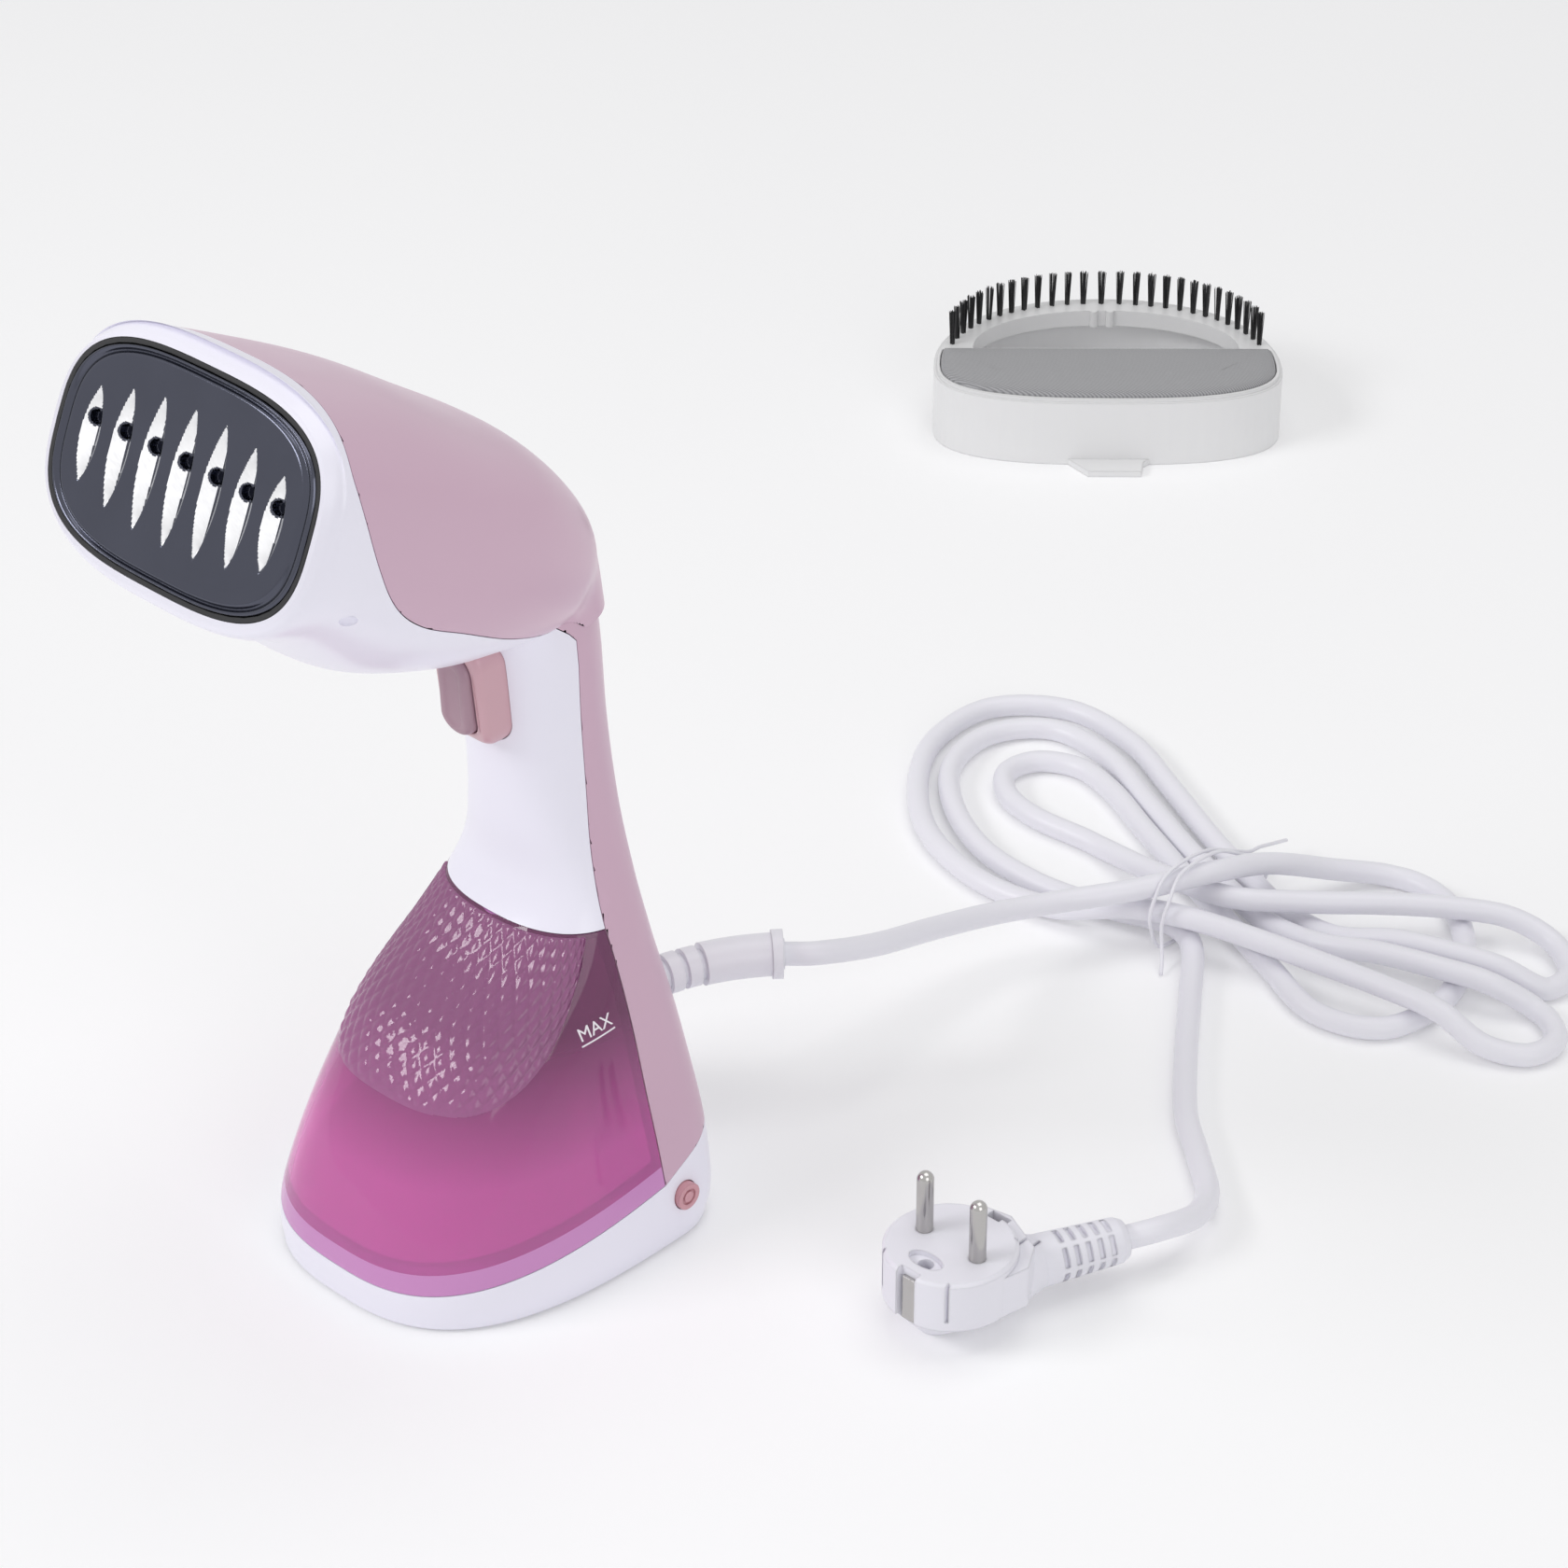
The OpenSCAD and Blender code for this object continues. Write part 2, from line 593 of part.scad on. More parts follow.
// A point behind the face: x across, v up the face, depth inward
function behind_face(x, v, depth) = [x,
    -head_reach + v * sin(face_tilt) + depth * cos(face_tilt),
    face_z + v * cos(face_tilt) - depth * sin(face_tilt)];
pressure_path = concat([[0, pump_y, pump_z + pump_l + 3.2]], refine([
    [0, pump_y, pump_z + pump_l + 8],
    [0, pump_y + 4.5, pump_z + pump_l + 16], [0, pump_y + 5, neck_z + 2],
    [0, -head_reach * 0.05, neck_z + head_rise * 0.28],
    [0, -head_reach * 0.32, neck_z + head_rise * 0.52], behind_face(0, 0, chamber_back + 18),
    behind_face(0, 0, chamber_back + 8)], 3), [behind_face(0, 0, chamber_back + 1)]);
module pressure_hose() color([0.85, 0.85, 0.88]) hose(pressure_path, [1, 0, 0]);

// ---- electronics ------------------------------------------------------------------------

module control_board() color([0.15, 0.4, 0.25]) difference() {
    union() {
        translate([-board_w / 2, board_y, board_z - board_h / 2]) cube([board_w, 1.6, board_h]);
        translate([-14, board_y + 1, board_z - 14]) cube([9, 6, 12]);
        translate([-14, board_y + 1, board_z + 2]) cube([9, 5, 10]);
        translate([11, board_y + 1, board_z - 6]) rotate([-90, 0, 0]) cylinder(d = 8, h = 6);
        translate([7, board_y + 1, board_z + 4]) cube([8, 5, 8]);
    }
    for (p = board_posts) translate([p[0], board_y - 1, p[1]])
        rotate([-90, 0, 0]) cylinder(d = 2.4, h = 5);
}
module board_screws() color("silver") for (p = board_posts)
    translate([p[0], board_y + 3, p[1]]) rotate([90, 0, 0]) screw(4, 1.7, 6);

board_face = board_y + 1.7;
module wiring() color([0.8, 0.3, 0.25]) {
    // mains from the clamp to the board
    tube(concat([[0, clamp_y - 0.3, boot_z]], refine([[0, clamp_y - 2.5, boot_z],
                 [9, board_y + 11, boot_z + 2], [16, board_y + 9, board_z - 18],
                 [17, board_y + 4, board_z - 13]], 2), [[17, board_face, board_z - 13]]),
        2.4, 6, [1, 0, 0.4]);
    // from the board up the grip to the heater
    for (sx = [-1, 1]) tube(concat([[sx * 17, board_face, board_z + 12]], refine([
            [sx * 17, board_y + 4, board_z + 12],
            [sx * 14, board_y + 8, board_z + 20], [sx * (wire_x + 1), wire_y - 1, tank_top + 1],
            [sx * wire_x, wire_y, pump_z + 2], [sx * wire_x, wire_y, pump_z + pump_l * 0.5],
            [sx * wire_x, wire_y - 1, pump_z + pump_l], [sx * wire_x, wire_y - 3, neck_z - 12],
            [sx * 8, -head_reach * 0.06, neck_z + head_rise * 0.36],
            behind_face(sx * 14, 4, chamber_back + 22), behind_face(sx * 16, heater_v, chamber_back + 9)],
            2), [behind_face(sx * 16, heater_v, chamber_back + heater_d / 2 + 0.2)]),
        2.4, 6, [1, 0, 0.1]);
}

// ---- shells -----------------------------------------------------------------------------

trigger_top = neck_z + head_rise * 0.06;
trigger_mid = trigger_top - trigger_h / 2;
grip_front = -spread(handle_front, base_front, 0.02);   // the grip's front at the trigger
pad_w = trigger_w - 6.4;
pad_h = trigger_h - 9;

// The trigger frame's opening in the shell, and its outline grown by extra
module trigger_outline(extra, from, to) translate([0, to, trigger_mid]) rotate([90, 0, 0])
    linear_extrude(to - from) capsule(trigger_w + 2 * extra, trigger_h + 2 * extra, trigger_w / 2.6);

module plate_outline(extra, depth, height) at_face() translate([0, 0, -depth])
    linear_extrude(height)
        polygon(cushion(plate_w + 2 * extra, plate_h + 2 * extra, 3.1, sides));

module front_shell() color(white) moulded() difference() {
    intersection() {
        difference() {
            skin();
            skin(wall);
        }
        above(tank_top);
    }
    cover_side();
    plate_outline(gasket_w + 0.1, 12, 30);
    intersection() {
        trigger_outline(0.15, grip_front - 20, grip_front + 8);
        above(trigger_mid - far / 2);
    }
}

boot_hole = boot_d + 0.4;
exit_y = pedestal_at(boot_z)[2];       // the cover's outer face at the lead's exit
module back_cover() color(pink) moulded() difference() {
    intersection() {
        difference() {
            skin();
            skin(wall);
        }
        cover_side();
        side_view(concat(base_edge(0), [[far, far], [-far, far]]));
    }
    translate([0, exit_y - 10, boot_z]) rotate([-90, 0, 0]) cylinder(d = boot_hole, h = 30, $fn = 32);
}

// ---- trigger ----------------------------------------------------------------------------

frame_front = grip_front - trigger_out;
frame_back = grip_front + 2.6;
frame_side = concat(
    [[frame_back, trigger_mid - trigger_h / 2]],
    refine([[grip_front - 1, trigger_mid - trigger_h / 2],
            [frame_front + trigger_out * 0.4, trigger_mid - trigger_h * 0.4],
            [frame_front + 1, trigger_mid - trigger_h * 0.15],
            [frame_front, trigger_mid + trigger_h * 0.2],
            [frame_front + 0.6, trigger_mid + trigger_h / 2]], 3),
    [[frame_back, trigger_mid + trigger_h / 2]]);
module trigger_frame() color([0.82, 0.66, 0.71]) difference() {
    intersection() {
        trigger_outline(0, frame_front - 5, frame_back);
        side_view(frame_side);
    }
    translate([0, frame_back + 1, trigger_mid]) rotate([90, 0, 0]) linear_extrude(40)
        capsule(pad_w + 2 * gap, pad_h + 2 * gap, pad_w / 2);
}

pad_front = frame_front - 1.6;
pad_back = frame_back + gap;          // front of the flange that keeps the pad in
flange_t = 1.4;
trigger_travel = 2.5;
spring_l = 5.6;                       // length of the trigger's spring at rest
spring_back = pad_back + flange_t + spring_l;
switch_front = spring_back + 2;
plunger = 1.2;                        // reach of the switch's plunger
stem_end = switch_front - plunger - trigger_travel - gap;
module trigger() color([0.67, 0.55, 0.61]) {
    intersection() {
        translate([0, pad_back + 0.1, trigger_mid]) rotate([90, 0, 0])
            linear_extrude(pad_back - pad_front + 3) capsule(pad_w, pad_h, pad_w / 2);
        translate([0, pad_front + 70, trigger_mid + 3]) rotate([0, 90, 0])
            cylinder(r = 70, h = 40, center = true, $fn = 200);
    }
    translate([0, pad_back + flange_t, trigger_mid]) rotate([90, 0, 0])
        linear_extrude(flange_t) capsule(pad_w + 2, pad_h + 3, pad_w / 2);
    translate([0, pad_back, trigger_mid - 4]) rotate([-90, 0, 0])
        cylinder(d = 3.4, h = stem_end - pad_back);
}

shelf_t = 2;
shelf_z = trigger_mid - pad_h / 2 - shelf_t - 2.5;
bracket_t = 1.6;
switch_depth = 7;
module switch_bracket() color([0.9, 0.9, 0.92]) difference() {
    union() {
        translate([0, 0, shelf_z]) linear_extrude(shelf_t)
            polygon(outline_at(shelf_z, wall + 3 * gap));
        translate([4.2, spring_back, shelf_z + 1]) cube([bracket_t, 9, pad_h + 4]);
        translate([-7, spring_back, shelf_z + 1]) cube([12.2, bracket_t, pad_h + 4]);
    }
    translate([0, pump_y + 3, shelf_z - 1]) cylinder(d = hose_d + 7, h = shelf_t + 2);
    for (sx = [-1, 1]) translate([sx * wire_x, wire_y - 1, shelf_z - 1])
        cylinder(d = 5.4, h = shelf_t + 2);
    translate([0, spring_back - 1, trigger_mid - 4]) rotate([-90, 0, 0]) cylinder(d = 4, h = 4);
}

module microswitch() color([0.15, 0.15, 0.17]) {
    translate([-2.6, switch_front, trigger_mid - 9]) cube([6.4, switch_depth, 19.8]);
    translate([0, switch_front + 1, trigger_mid - 4]) rotate([90, 0, 0])
        cylinder(d = 2.6, h = plunger + 1);
}

module trigger_spring() color("silver") translate([0, spring_back, trigger_mid + 5])
    rotate([90, 0, 0]) spring(5.5, 0.7, 4, spring_l);

// ---- steam head -------------------------------------------------------------------------

channel_pitch = (plate_w * 0.74) / (channels - 1);
hole_v = plate_h * 0.08;                  // the row of holes above the plate's middle
function channel_h(i) = let (s = 2 * i / (channels - 1) - 1) plate_h * (0.66 - 0.2 * s * s);
channel_w = channel_pitch * 0.62;
channel_deep = 1.5;

// A channel's lens-shaped outline
module lens(w, h) {
    r = (w * w + h * h) / (4 * w);
    intersection_for(sx = [-1, 1]) translate([sx * (r - w / 2), 0]) circle(r, $fn = 120);
}

module steam_plate() color([0.42, 0.42, 0.45]) difference() {
    plate_outline(0, plate_t, plate_t + 0.6);
    at_face() for (i = [0 : channels - 1]) translate([(i - (channels - 1) / 2) * channel_pitch, 0, 0]) {
        translate([0, 0, 0.6 - channel_deep]) linear_extrude(5) lens(channel_w, channel_h(i));
        translate([0, hole_v, -10]) cylinder(d = hole_d, h = 20);
    }
}

module plate_gasket() color([0.1, 0.1, 0.11]) difference() {
    plate_outline(gasket_w, plate_t + 1.4, plate_t + 1.4);
    plate_outline(0.1, plate_t, 20);
    plate_outline(-2.5, 20, 40);
}

boss_places = [for (sx = [-1, 1], sy = [-1, 1]) [sx * plate_w * 0.38, sy * plate_h * 0.26]];
module steam_chamber() color([0.62, 0.62, 0.64]) difference() {
    union() {
        plate_outline(-5, chamber_back, chamber_t);
        at_face() translate([0, 0, -chamber_back - 6]) cylinder(d = nipple_d, h = 7);
    }
    plate_outline(-12, plate_t + 4, 20);
    at_face() {
        heater_path(0.15, plate_w);
        translate([0, 0, -chamber_back - 10]) cylinder(d = nipple_d - 1.6, h = 20);
        for (p = boss_places) translate([p[0], p[1], -chamber_back - 1]) cylinder(d = 2.8, h = 9);
    }
}

heater_v = plate_h * 0.2;
heater_x = plate_w * 0.24;
module heater_path(extra, run) translate([0, 0, -chamber_back]) {
    for (sy = [-1, 1]) translate([-run, sy * heater_v, 0]) rotate([0, 90, 0])
        cylinder(d = heater_d + 2 * extra, h = run + heater_x);
    translate([heater_x, 0, 0]) rotate(-90) rotate_extrude(angle = 180)
        translate([heater_v, 0]) circle(d = heater_d + 2 * extra);
}
module heating_tube() color([0.5, 0.48, 0.46]) at_face() {
    heater_path(0, heater_x + 6);
    for (sy = [-1, 1]) translate([-heater_x - 10, sy * heater_v, -chamber_back]) rotate([0, 90, 0])
        cylinder(d = 2.4, h = 8);
}

module thermostat() color([0.75, 0.72, 0.66]) at_face()
    translate([-plate_w * 0.16, 0, -chamber_back]) rotate([180, 0, 0]) {
        cylinder(d = heater_v * 1.2, h = 4);
        cylinder(d = heater_v * 0.9, h = 6.5);
        for (sx = [-1, 1]) translate([sx * heater_v * 0.28, 0, 8]) cube([0.8, 3.5, 5], center = true);
    }

module thermal_fuse() color([0.85, 0.82, 0.75]) at_face()
    translate([plate_w * 0.17, 0, -chamber_back - 2.1]) rotate([90, 0, 0]) {
        cylinder(d = 4, h = heater_v, center = true);
        cylinder(d = 1, h = heater_v + 3, center = true);
    }

module chamber_screws() color("silver") at_face() for (p = boss_places)
    translate([p[0], p[1], -chamber_back - 1.4]) screw(5.4, 2.7, 8);

// ---- mains lead -------------------------------------------------------------------------

boot_turn = 44;               // angle that the boot bends through
rib_turn = 24;                // angle of its ribbed part
clamp_y = exit_y - wall - 6;
// A stretch of the boot's curve, of a diameter, from one angle to another
module boot_arc(d, from, to) translate([boot_bend, exit_y, boot_z])
    rotate(180 - to) rotate_extrude(angle = to - from) translate([boot_bend, 0]) circle(d = d);
function on_boot(a) = [boot_bend * (1 - cos(a)), exit_y + boot_bend * sin(a), boot_z];

module cord_boot() color(white) {
    translate([0, exit_y - wall - 3.2, boot_z]) rotate([-90, 0, 0]) cylinder(d = boot_d + 3, h = 2);
    translate([0, exit_y - wall - 2, boot_z]) rotate([-90, 0, 0]) cylinder(d = boot_d - 0.2, h = wall + 3);
    boot_arc(boot_d - 3, 0, boot_turn);
    for (i = [0 : 4]) boot_arc(boot_d + 0.4 - 0.15 * i, rib_turn * (i + 0.15) / 5, rib_turn * (i + 0.85) / 5);
    boot_arc(boot_d + 0.6, rib_turn + 0.6, boot_turn - 3);
    boot_arc(boot_d + 2.4, boot_turn - 3, boot_turn - 0.4);
}

module cord_clamp() color([0.3, 0.3, 0.32]) translate([0, clamp_y, boot_z]) difference() {
    translate([-9, 0, -6]) cube([18, 2.7, 12]);
    rotate([-90, 0, 0]) cylinder(d = cord_d - 1, h = 20, center = true);
    for (sx = [-1, 1]) translate([sx * 6.5, 0, 0]) rotate([-90, 0, 0]) cylinder(d = 2.4, h = 20, center = true);
}

// Where the plug lies, and where the lead leaves it
plug_x = 128;
plug_y = 32.5;
plug_turn = 66;               // direction in which the lead leaves it
pin_turn = -66;               // from there to the line through the pins
pin_pitch = 19;
pin_depth = 8;                // how far a pin is held in the body
relief_z = 12;                // height of the lead at the plug
relief_start = plug_d / 2 + 7;
relief_reach = relief_start + 26.5;
relief_d = 15;
waist_z = plug_h * 0.4;       // where the round face part meets the tapered grip
relief_dir = [cos(plug_turn), sin(plug_turn), 0];
relief_end = [plug_x, plug_y, relief_z] + relief_reach * relief_dir;

// The lead's route over the floor. Where strands cross, the lower lies on the floor and the
// upper rests on it, so heights go by what is underneath.
lie = cord_d / 2;          // centre of the lead where it lies on the floor
hop = lie + cord_d + 0.5;  // centre of the lead where it crosses a strand
route = [
    // off the boot, down to the bundle and over it at the tie
    [31, 108, 40], [28, 137, 30], [29, 163, 23], [37, 186, 20], [50, 205, 21], [61, 226, 22],
    [66, 248, 17],
    // first right loop, flat on the floor
    [74, 270, 8], [88, 286, lie], [108, 285, lie], [127, 268, lie], [138, 243, lie],
    [134, 219, lie], [114, 211, lie], [88, 221, lie],
    // small left loop
    [57, 233, 5], [34, 244, lie], [12, 254, lie], [-7, 263, lie], [-24, 267, lie],
    [-37, 261, lie], [-40, 249, lie], [-31, 239, lie], [-15, 235, lie], [9, 236, lie],
    [32, 231, 8],
    // second right loop, long and narrow, over the first
    [51, 227, 13], [68, 230, 14], [84, 244, 13], [101, 261, 12], [117, 275, hop], [131, 285, 9],
    [145, 288, 5], [157, 280, lie], [157, 268, lie], [145, 260, 10], [131, 255, hop],
    [115, 249, hop], [96, 244, 6], [75, 247, lie],
    // outer left loop
    [55, 253, 5], [30, 265, lie], [4, 278, lie], [-22, 290, lie], [-50, 292, lie], [-70, 275, lie],
    [-70, 248, lie], [-56, 224, lie], [-34, 205, lie], [-6, 196, lie], [22, 198, 5],
    // third right loop, long and narrow, in front of the second
    [46, 206, 12], [64, 213, 13], [84, 219, 12], [107, 224, hop], [128, 227, hop], [146, 228, hop],
    [161, 230, 5], [173, 237, lie], [174, 249, lie], [162, 257, lie], [148, 251, 10],
    [133, 246, hop], [115, 240, hop], [96, 235, 8], [76, 237, 5],
    // inner left loop
    [56, 243, 5], [30, 254, lie], [4, 266, lie], [-22, 278, lie], [-46, 279, lie], [-59, 263, lie],
    [-56, 241, lie], [-40, 223, lie], [-16, 210, lie], [10, 207, lie],
    // out of the tie and on to the plug
    [34, 211, 4], [54, 216, 5], [67, 211, 5], [82, 192, lie], [100, 168, lie], [118, 146, lie],
    [134, 132, lie], [147, 120, 4], [154, 106, 8]];
lead_start = on_boot(boot_turn);
lead_dir = [sin(boot_turn), cos(boot_turn), 0];
cord_points = concat([lead_start, lead_start + 10 * lead_dir], route,
    [relief_end + 12 * relief_dir, relief_end]);
module mains_cord() color(white) tube(cord_points, cord_d, 10, [0, 0, 1]);

// A coated wire, wound one and a half times round the crossing strands, with two loose ends
tie_d = 1.2;
tie_route = [
    // a loose end, standing up behind
    [52, 276, 6], [53, 268, 9], [54, 260, 12],
    // first turn: over the top, down the near side, along the floor
    [55, 253, 14], [56, 244, 19], [56, 232, 25], [56, 222, 27], [56, 211, 26], [56, 206, 20],
    [56, 204, 14], [56, 205, 9], [56, 208, 2], [57, 213, 0.7], [57, 233, 0.7], [57, 254, 0.7],
    // second turn, over the top to the near side
    [58, 258, 3], [58, 258, 8], [58, 252, 14], [59, 244, 19], [59, 234, 25], [59, 225, 27],
    [59, 214, 26], [60, 208, 20], [60, 205, 13],
    // the other loose end, down to the floor
    [61, 204, 7], [63, 202, 3], [66, 198, 1]];
module twist_tie() color(white) tube(tie_route, tie_d, 8, [1, 0, 0]);

// ---- plug -------------------------------------------------------------------------------

module at_plug() translate([plug_x, plug_y, 0]) rotate(plug_turn) children();

module plug_body() color(white) at_plug() difference() {
    union() {
        translate([0, 0, waist_z]) cylinder(d = plug_d, h = plug_h - 1 - waist_z);
        translate([0, 0, plug_h - 1]) cylinder(d1 = plug_d, d2 = plug_d - 2, h = 1);
        // shoulder that carries the face on towards the lead
        translate([0, 0, waist_z]) linear_extrude(plug_h - waist_z - 2.5) polygon([
            [0, -plug_d * 0.5], [plug_d * 0.44, -plug_d * 0.4], [plug_d / 2 + 3, -plug_d * 0.2],
            [plug_d / 2 + 3, plug_d * 0.2], [plug_d * 0.44, plug_d * 0.4], [0, plug_d * 0.5]]);
        // grip that tapers to the floor and out to the strain relief
        hull() {
            translate([0, 0, waist_z]) cylinder(d = plug_d - 1.6, h = 0.2);
            translate([plug_d * 0.1, 0, 0]) linear_extrude(0.6) capsule(plug_d * 0.7, plug_d * 0.3, 5);
            translate([relief_start, 0, relief_z]) rotate([0, 90, 0]) cylinder(d = relief_d, h = 0.4);
            translate([plug_d * 0.4, 0, plug_h * 0.7]) cube([1, plug_d * 0.5, 1], center = true);
        }
        translate([relief_start, 0, relief_z]) rotate([0, 90, 0])
            cylinder(d1 = relief_d, d2 = relief_d - 2, h = relief_reach - relief_start - 2);
        translate([relief_reach - 2, 0, relief_z]) rotate([0, 90, 0])
            cylinder(d1 = relief_d - 2, d2 = relief_d - 4, h = 2);
    }
    // slots that let the strain relief bend
    for (a = [-60 : 60 : 240], i = [0 : 4])
        translate([relief_start + 6.5 + 3.6 * i, 0, relief_z]) rotate([a, 0, 0])
            translate([0, 0, relief_d / 2]) cube([1.5, relief_d * 0.36, 3.6], center = true);
    rotate(pin_turn) {
        for (sy = [-1, 1]) {
            translate([0, sy * plug_d / 2, plug_h]) cube([6.5, 5.4, 2 * plug_h - 14], center = true);
            for (sx = [-1, 1]) translate([sx * plug_d * 0.31, sy * plug_d / 2, plug_h])
                cube([0.8, plug_d * 0.28, 2 * (plug_h - waist_z) - 6], center = true);
        }
        // sleeve for the earth pin
        translate([0, -plug_d * 0.27, plug_h - 1.6]) scale([1, 0.55, 1]) cylinder(d = 11, h = 3);
        translate([0, -plug_d * 0.27, plug_h - 10]) cylinder(d = 4.4, h = 12);
        for (sx = [-1, 1]) translate([sx * pin_pitch / 2, 0, plug_h - pin_depth])
            cylinder(d = pin_d, h = 20);
    }
}

module plug_pins() color("silver") at_plug() rotate(pin_turn) for (sx = [-1, 1])
    translate([sx * pin_pitch / 2, 0, plug_h - pin_depth + 0.01]) {
        cylinder(d = pin_d - 0.02, h = pin_l + pin_depth - pin_d / 2);
        translate([0, 0, pin_l + pin_depth - pin_d / 2]) sphere(d = pin_d - 0.02);
    }

module earth_contacts() color("silver") at_plug() rotate(pin_turn) for (sy = [-1, 1])
    translate([0, sy * (plug_d / 2 - 2.1), plug_h - 9.5]) cube([4.4, 1, 14], center = true);

// ---- brush attachment -------------------------------------------------------------------

brush_x = -172;
brush_y = 455;
brush_turn = 43;
brush_wall = 2.6;
brush_share = 0.34;           // share of the depth between the clip side and the widest line
brush_clip_y = -brush_d * brush_share;
brush_arch_y = brush_d * (1 - brush_share);
arch_band = 10.5;             // width of the arch between the window and the outer edge
pad_edge = brush_d * 0.145;   // straight edge between the pad and the window
pad_thick = 4;
bristle_inset = 4.4;

module at_brush() translate([brush_x, brush_y, 0]) rotate(brush_turn) children();

// Plan of the brush: flat on the clip side, arched on the other
function brush_point(a, inset) =
    let (q = rounded_power(sin(a), a < 180 ? 2.15 : 2.7))
    [(brush_w / 2 - inset) * rounded_power(cos(a), a < 180 ? 2.15 : 2.7),
     q * (q < 0 ? -brush_clip_y - inset : brush_arch_y - inset)];
function brush_outline(inset, count) = [for (k = [0 : count - 1]) brush_point(360 * k / count, inset)];

module pad_outline(inset) intersection() {
    polygon(brush_outline(2.2 + inset, 56));
    translate([-far / 2, pad_edge - inset - far]) square(far);
}

module brush_frame() color(white) at_brush() difference() {
    union() {
        linear_extrude(brush_h - 1.2) polygon(brush_outline(0, 56));
        translate([0, 0, brush_h - 1.2]) linear_extrude(1.2) polygon(brush_outline(1, 56));
        // release tab
        linear_extrude(2.4) polygon([
            [-17, brush_clip_y + 3], [-8, brush_clip_y - 9], [11, brush_clip_y - 9],
            [12, brush_clip_y - 2], [17, brush_clip_y + 3]]);
    }
    // hollow that slips over the steam head
    translate([0, 0, -1]) linear_extrude(brush_h - 2.4 - pad_thick + 1)
        polygon(brush_outline(brush_wall, 56));
    // window for the steam
    difference() {
        translate([0, pad_edge + 1.4, -1]) scale([brush_w / 2 - arch_band * 1.4,
            brush_arch_y - arch_band - pad_edge - 1.4, 1]) difference() {
            cylinder(r = 1, h = brush_h * 2, $fn = 96);
            translate([-2, -4, -1]) cube([4, 4, brush_h * 3]);
        }
        for (sx = [-1, 1]) translate([sx * 3, brush_arch_y - arch_band, 0])
            cylinder(r = 1.5, h = brush_h, $fn = 24);
    }
    // recess for the pad
    translate([0, 0, brush_h - pad_thick]) linear_extrude(pad_thick + 1) pad_outline(0);
}

module brush_bristles() color([0.2, 0.2, 0.21]) at_brush() for (i = [0 : tufts - 1])
    let (p = brush_point(18 + 144 * i / (tufts - 1), bristle_inset))
    translate([p[0], p[1], brush_h]) cylinder(d1 = 2, d2 = 3.2, h = bristle_l, $fn = 16);

module brush_pad() color([0.65, 0.65, 0.66]) at_brush()
    translate([0, 0, brush_h - pad_thick]) linear_extrude(pad_thick + 2) pad_outline(0.3);

// ---- assembly ---------------------------------------------------------------------------

base_housing();
base_plate();
feet();
base_screws();
water_tank();
tank_band();
filler_plug();
tank_valve();
suction_tube();
suction_filter();
dock_wall();
dock_seal();
dock_connector();
suction_hose();
pump();
pump_mounts();
pressure_hose();
control_board();
board_screws();
wiring();
front_shell();
back_cover();
trigger_frame();
trigger();
trigger_spring();
microswitch();
switch_bracket();
steam_plate();
plate_gasket();
steam_chamber();
heating_tube();
thermostat();
thermal_fuse();
chamber_screws();
button_left();
button_right();
button_spring_left();
button_spring_right();
cord_boot();
cord_clamp();
mains_cord();
twist_tie();
plug_body();
plug_pins();
earth_contacts();
brush_frame();
brush_bristles();
brush_pad();
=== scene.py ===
"""Garment steamer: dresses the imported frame. Lengths are in metres unless a name says otherwise."""
import math
import random

import bpy
import bmesh
import numpy as np
from mathutils import Matrix, Vector
from mathutils.bvhtree import BVHTree
from mathutils.interpolate import poly_3d_calc


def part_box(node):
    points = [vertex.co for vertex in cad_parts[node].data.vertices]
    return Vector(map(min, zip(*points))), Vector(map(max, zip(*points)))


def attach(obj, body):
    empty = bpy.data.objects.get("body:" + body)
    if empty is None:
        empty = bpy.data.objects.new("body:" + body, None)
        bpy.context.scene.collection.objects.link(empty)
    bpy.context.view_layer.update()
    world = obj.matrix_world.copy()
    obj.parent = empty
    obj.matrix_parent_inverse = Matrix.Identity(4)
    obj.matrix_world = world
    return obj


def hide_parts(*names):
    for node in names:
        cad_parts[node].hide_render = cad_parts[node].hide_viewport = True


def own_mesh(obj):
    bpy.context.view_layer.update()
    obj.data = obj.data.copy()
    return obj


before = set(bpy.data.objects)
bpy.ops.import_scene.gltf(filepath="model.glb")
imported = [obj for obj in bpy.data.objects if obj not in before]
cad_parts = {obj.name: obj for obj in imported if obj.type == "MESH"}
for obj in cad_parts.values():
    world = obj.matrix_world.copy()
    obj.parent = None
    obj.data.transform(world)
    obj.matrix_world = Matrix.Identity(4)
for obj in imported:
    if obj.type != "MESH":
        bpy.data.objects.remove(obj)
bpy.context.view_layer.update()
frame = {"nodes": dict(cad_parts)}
nodes = frame["nodes"]
MM = 0.001
FAR, ABOVE = 300, 400      # millimetres, both past the upright steamer, for its cutters
rng = random.Random(7)


def linked(name, data):
    """A new object in the scene."""
    obj = bpy.data.objects.new(name, data)
    bpy.context.scene.collection.objects.link(obj)
    return obj


# ---- camera ----------------------------------------------

cam_data = bpy.data.cameras.new("camera")
cam_data.lens = 107.15
cam_data.sensor_width = 36
cam_data.sensor_height = 36
cam_data.clip_end = 20
camera = linked("camera", cam_data)
camera.location = (0.77771, -0.71980, 0.80230)
aim = Vector((0.05751, 0.04178, 0.13713)) - camera.location
camera.rotation_euler = aim.to_track_quat("-Z", "Y").to_euler()
bpy.context.scene.camera = camera
bpy.context.scene.view_settings.view_transform = "Standard"

# ---- mesh helpers ----------------------------------------


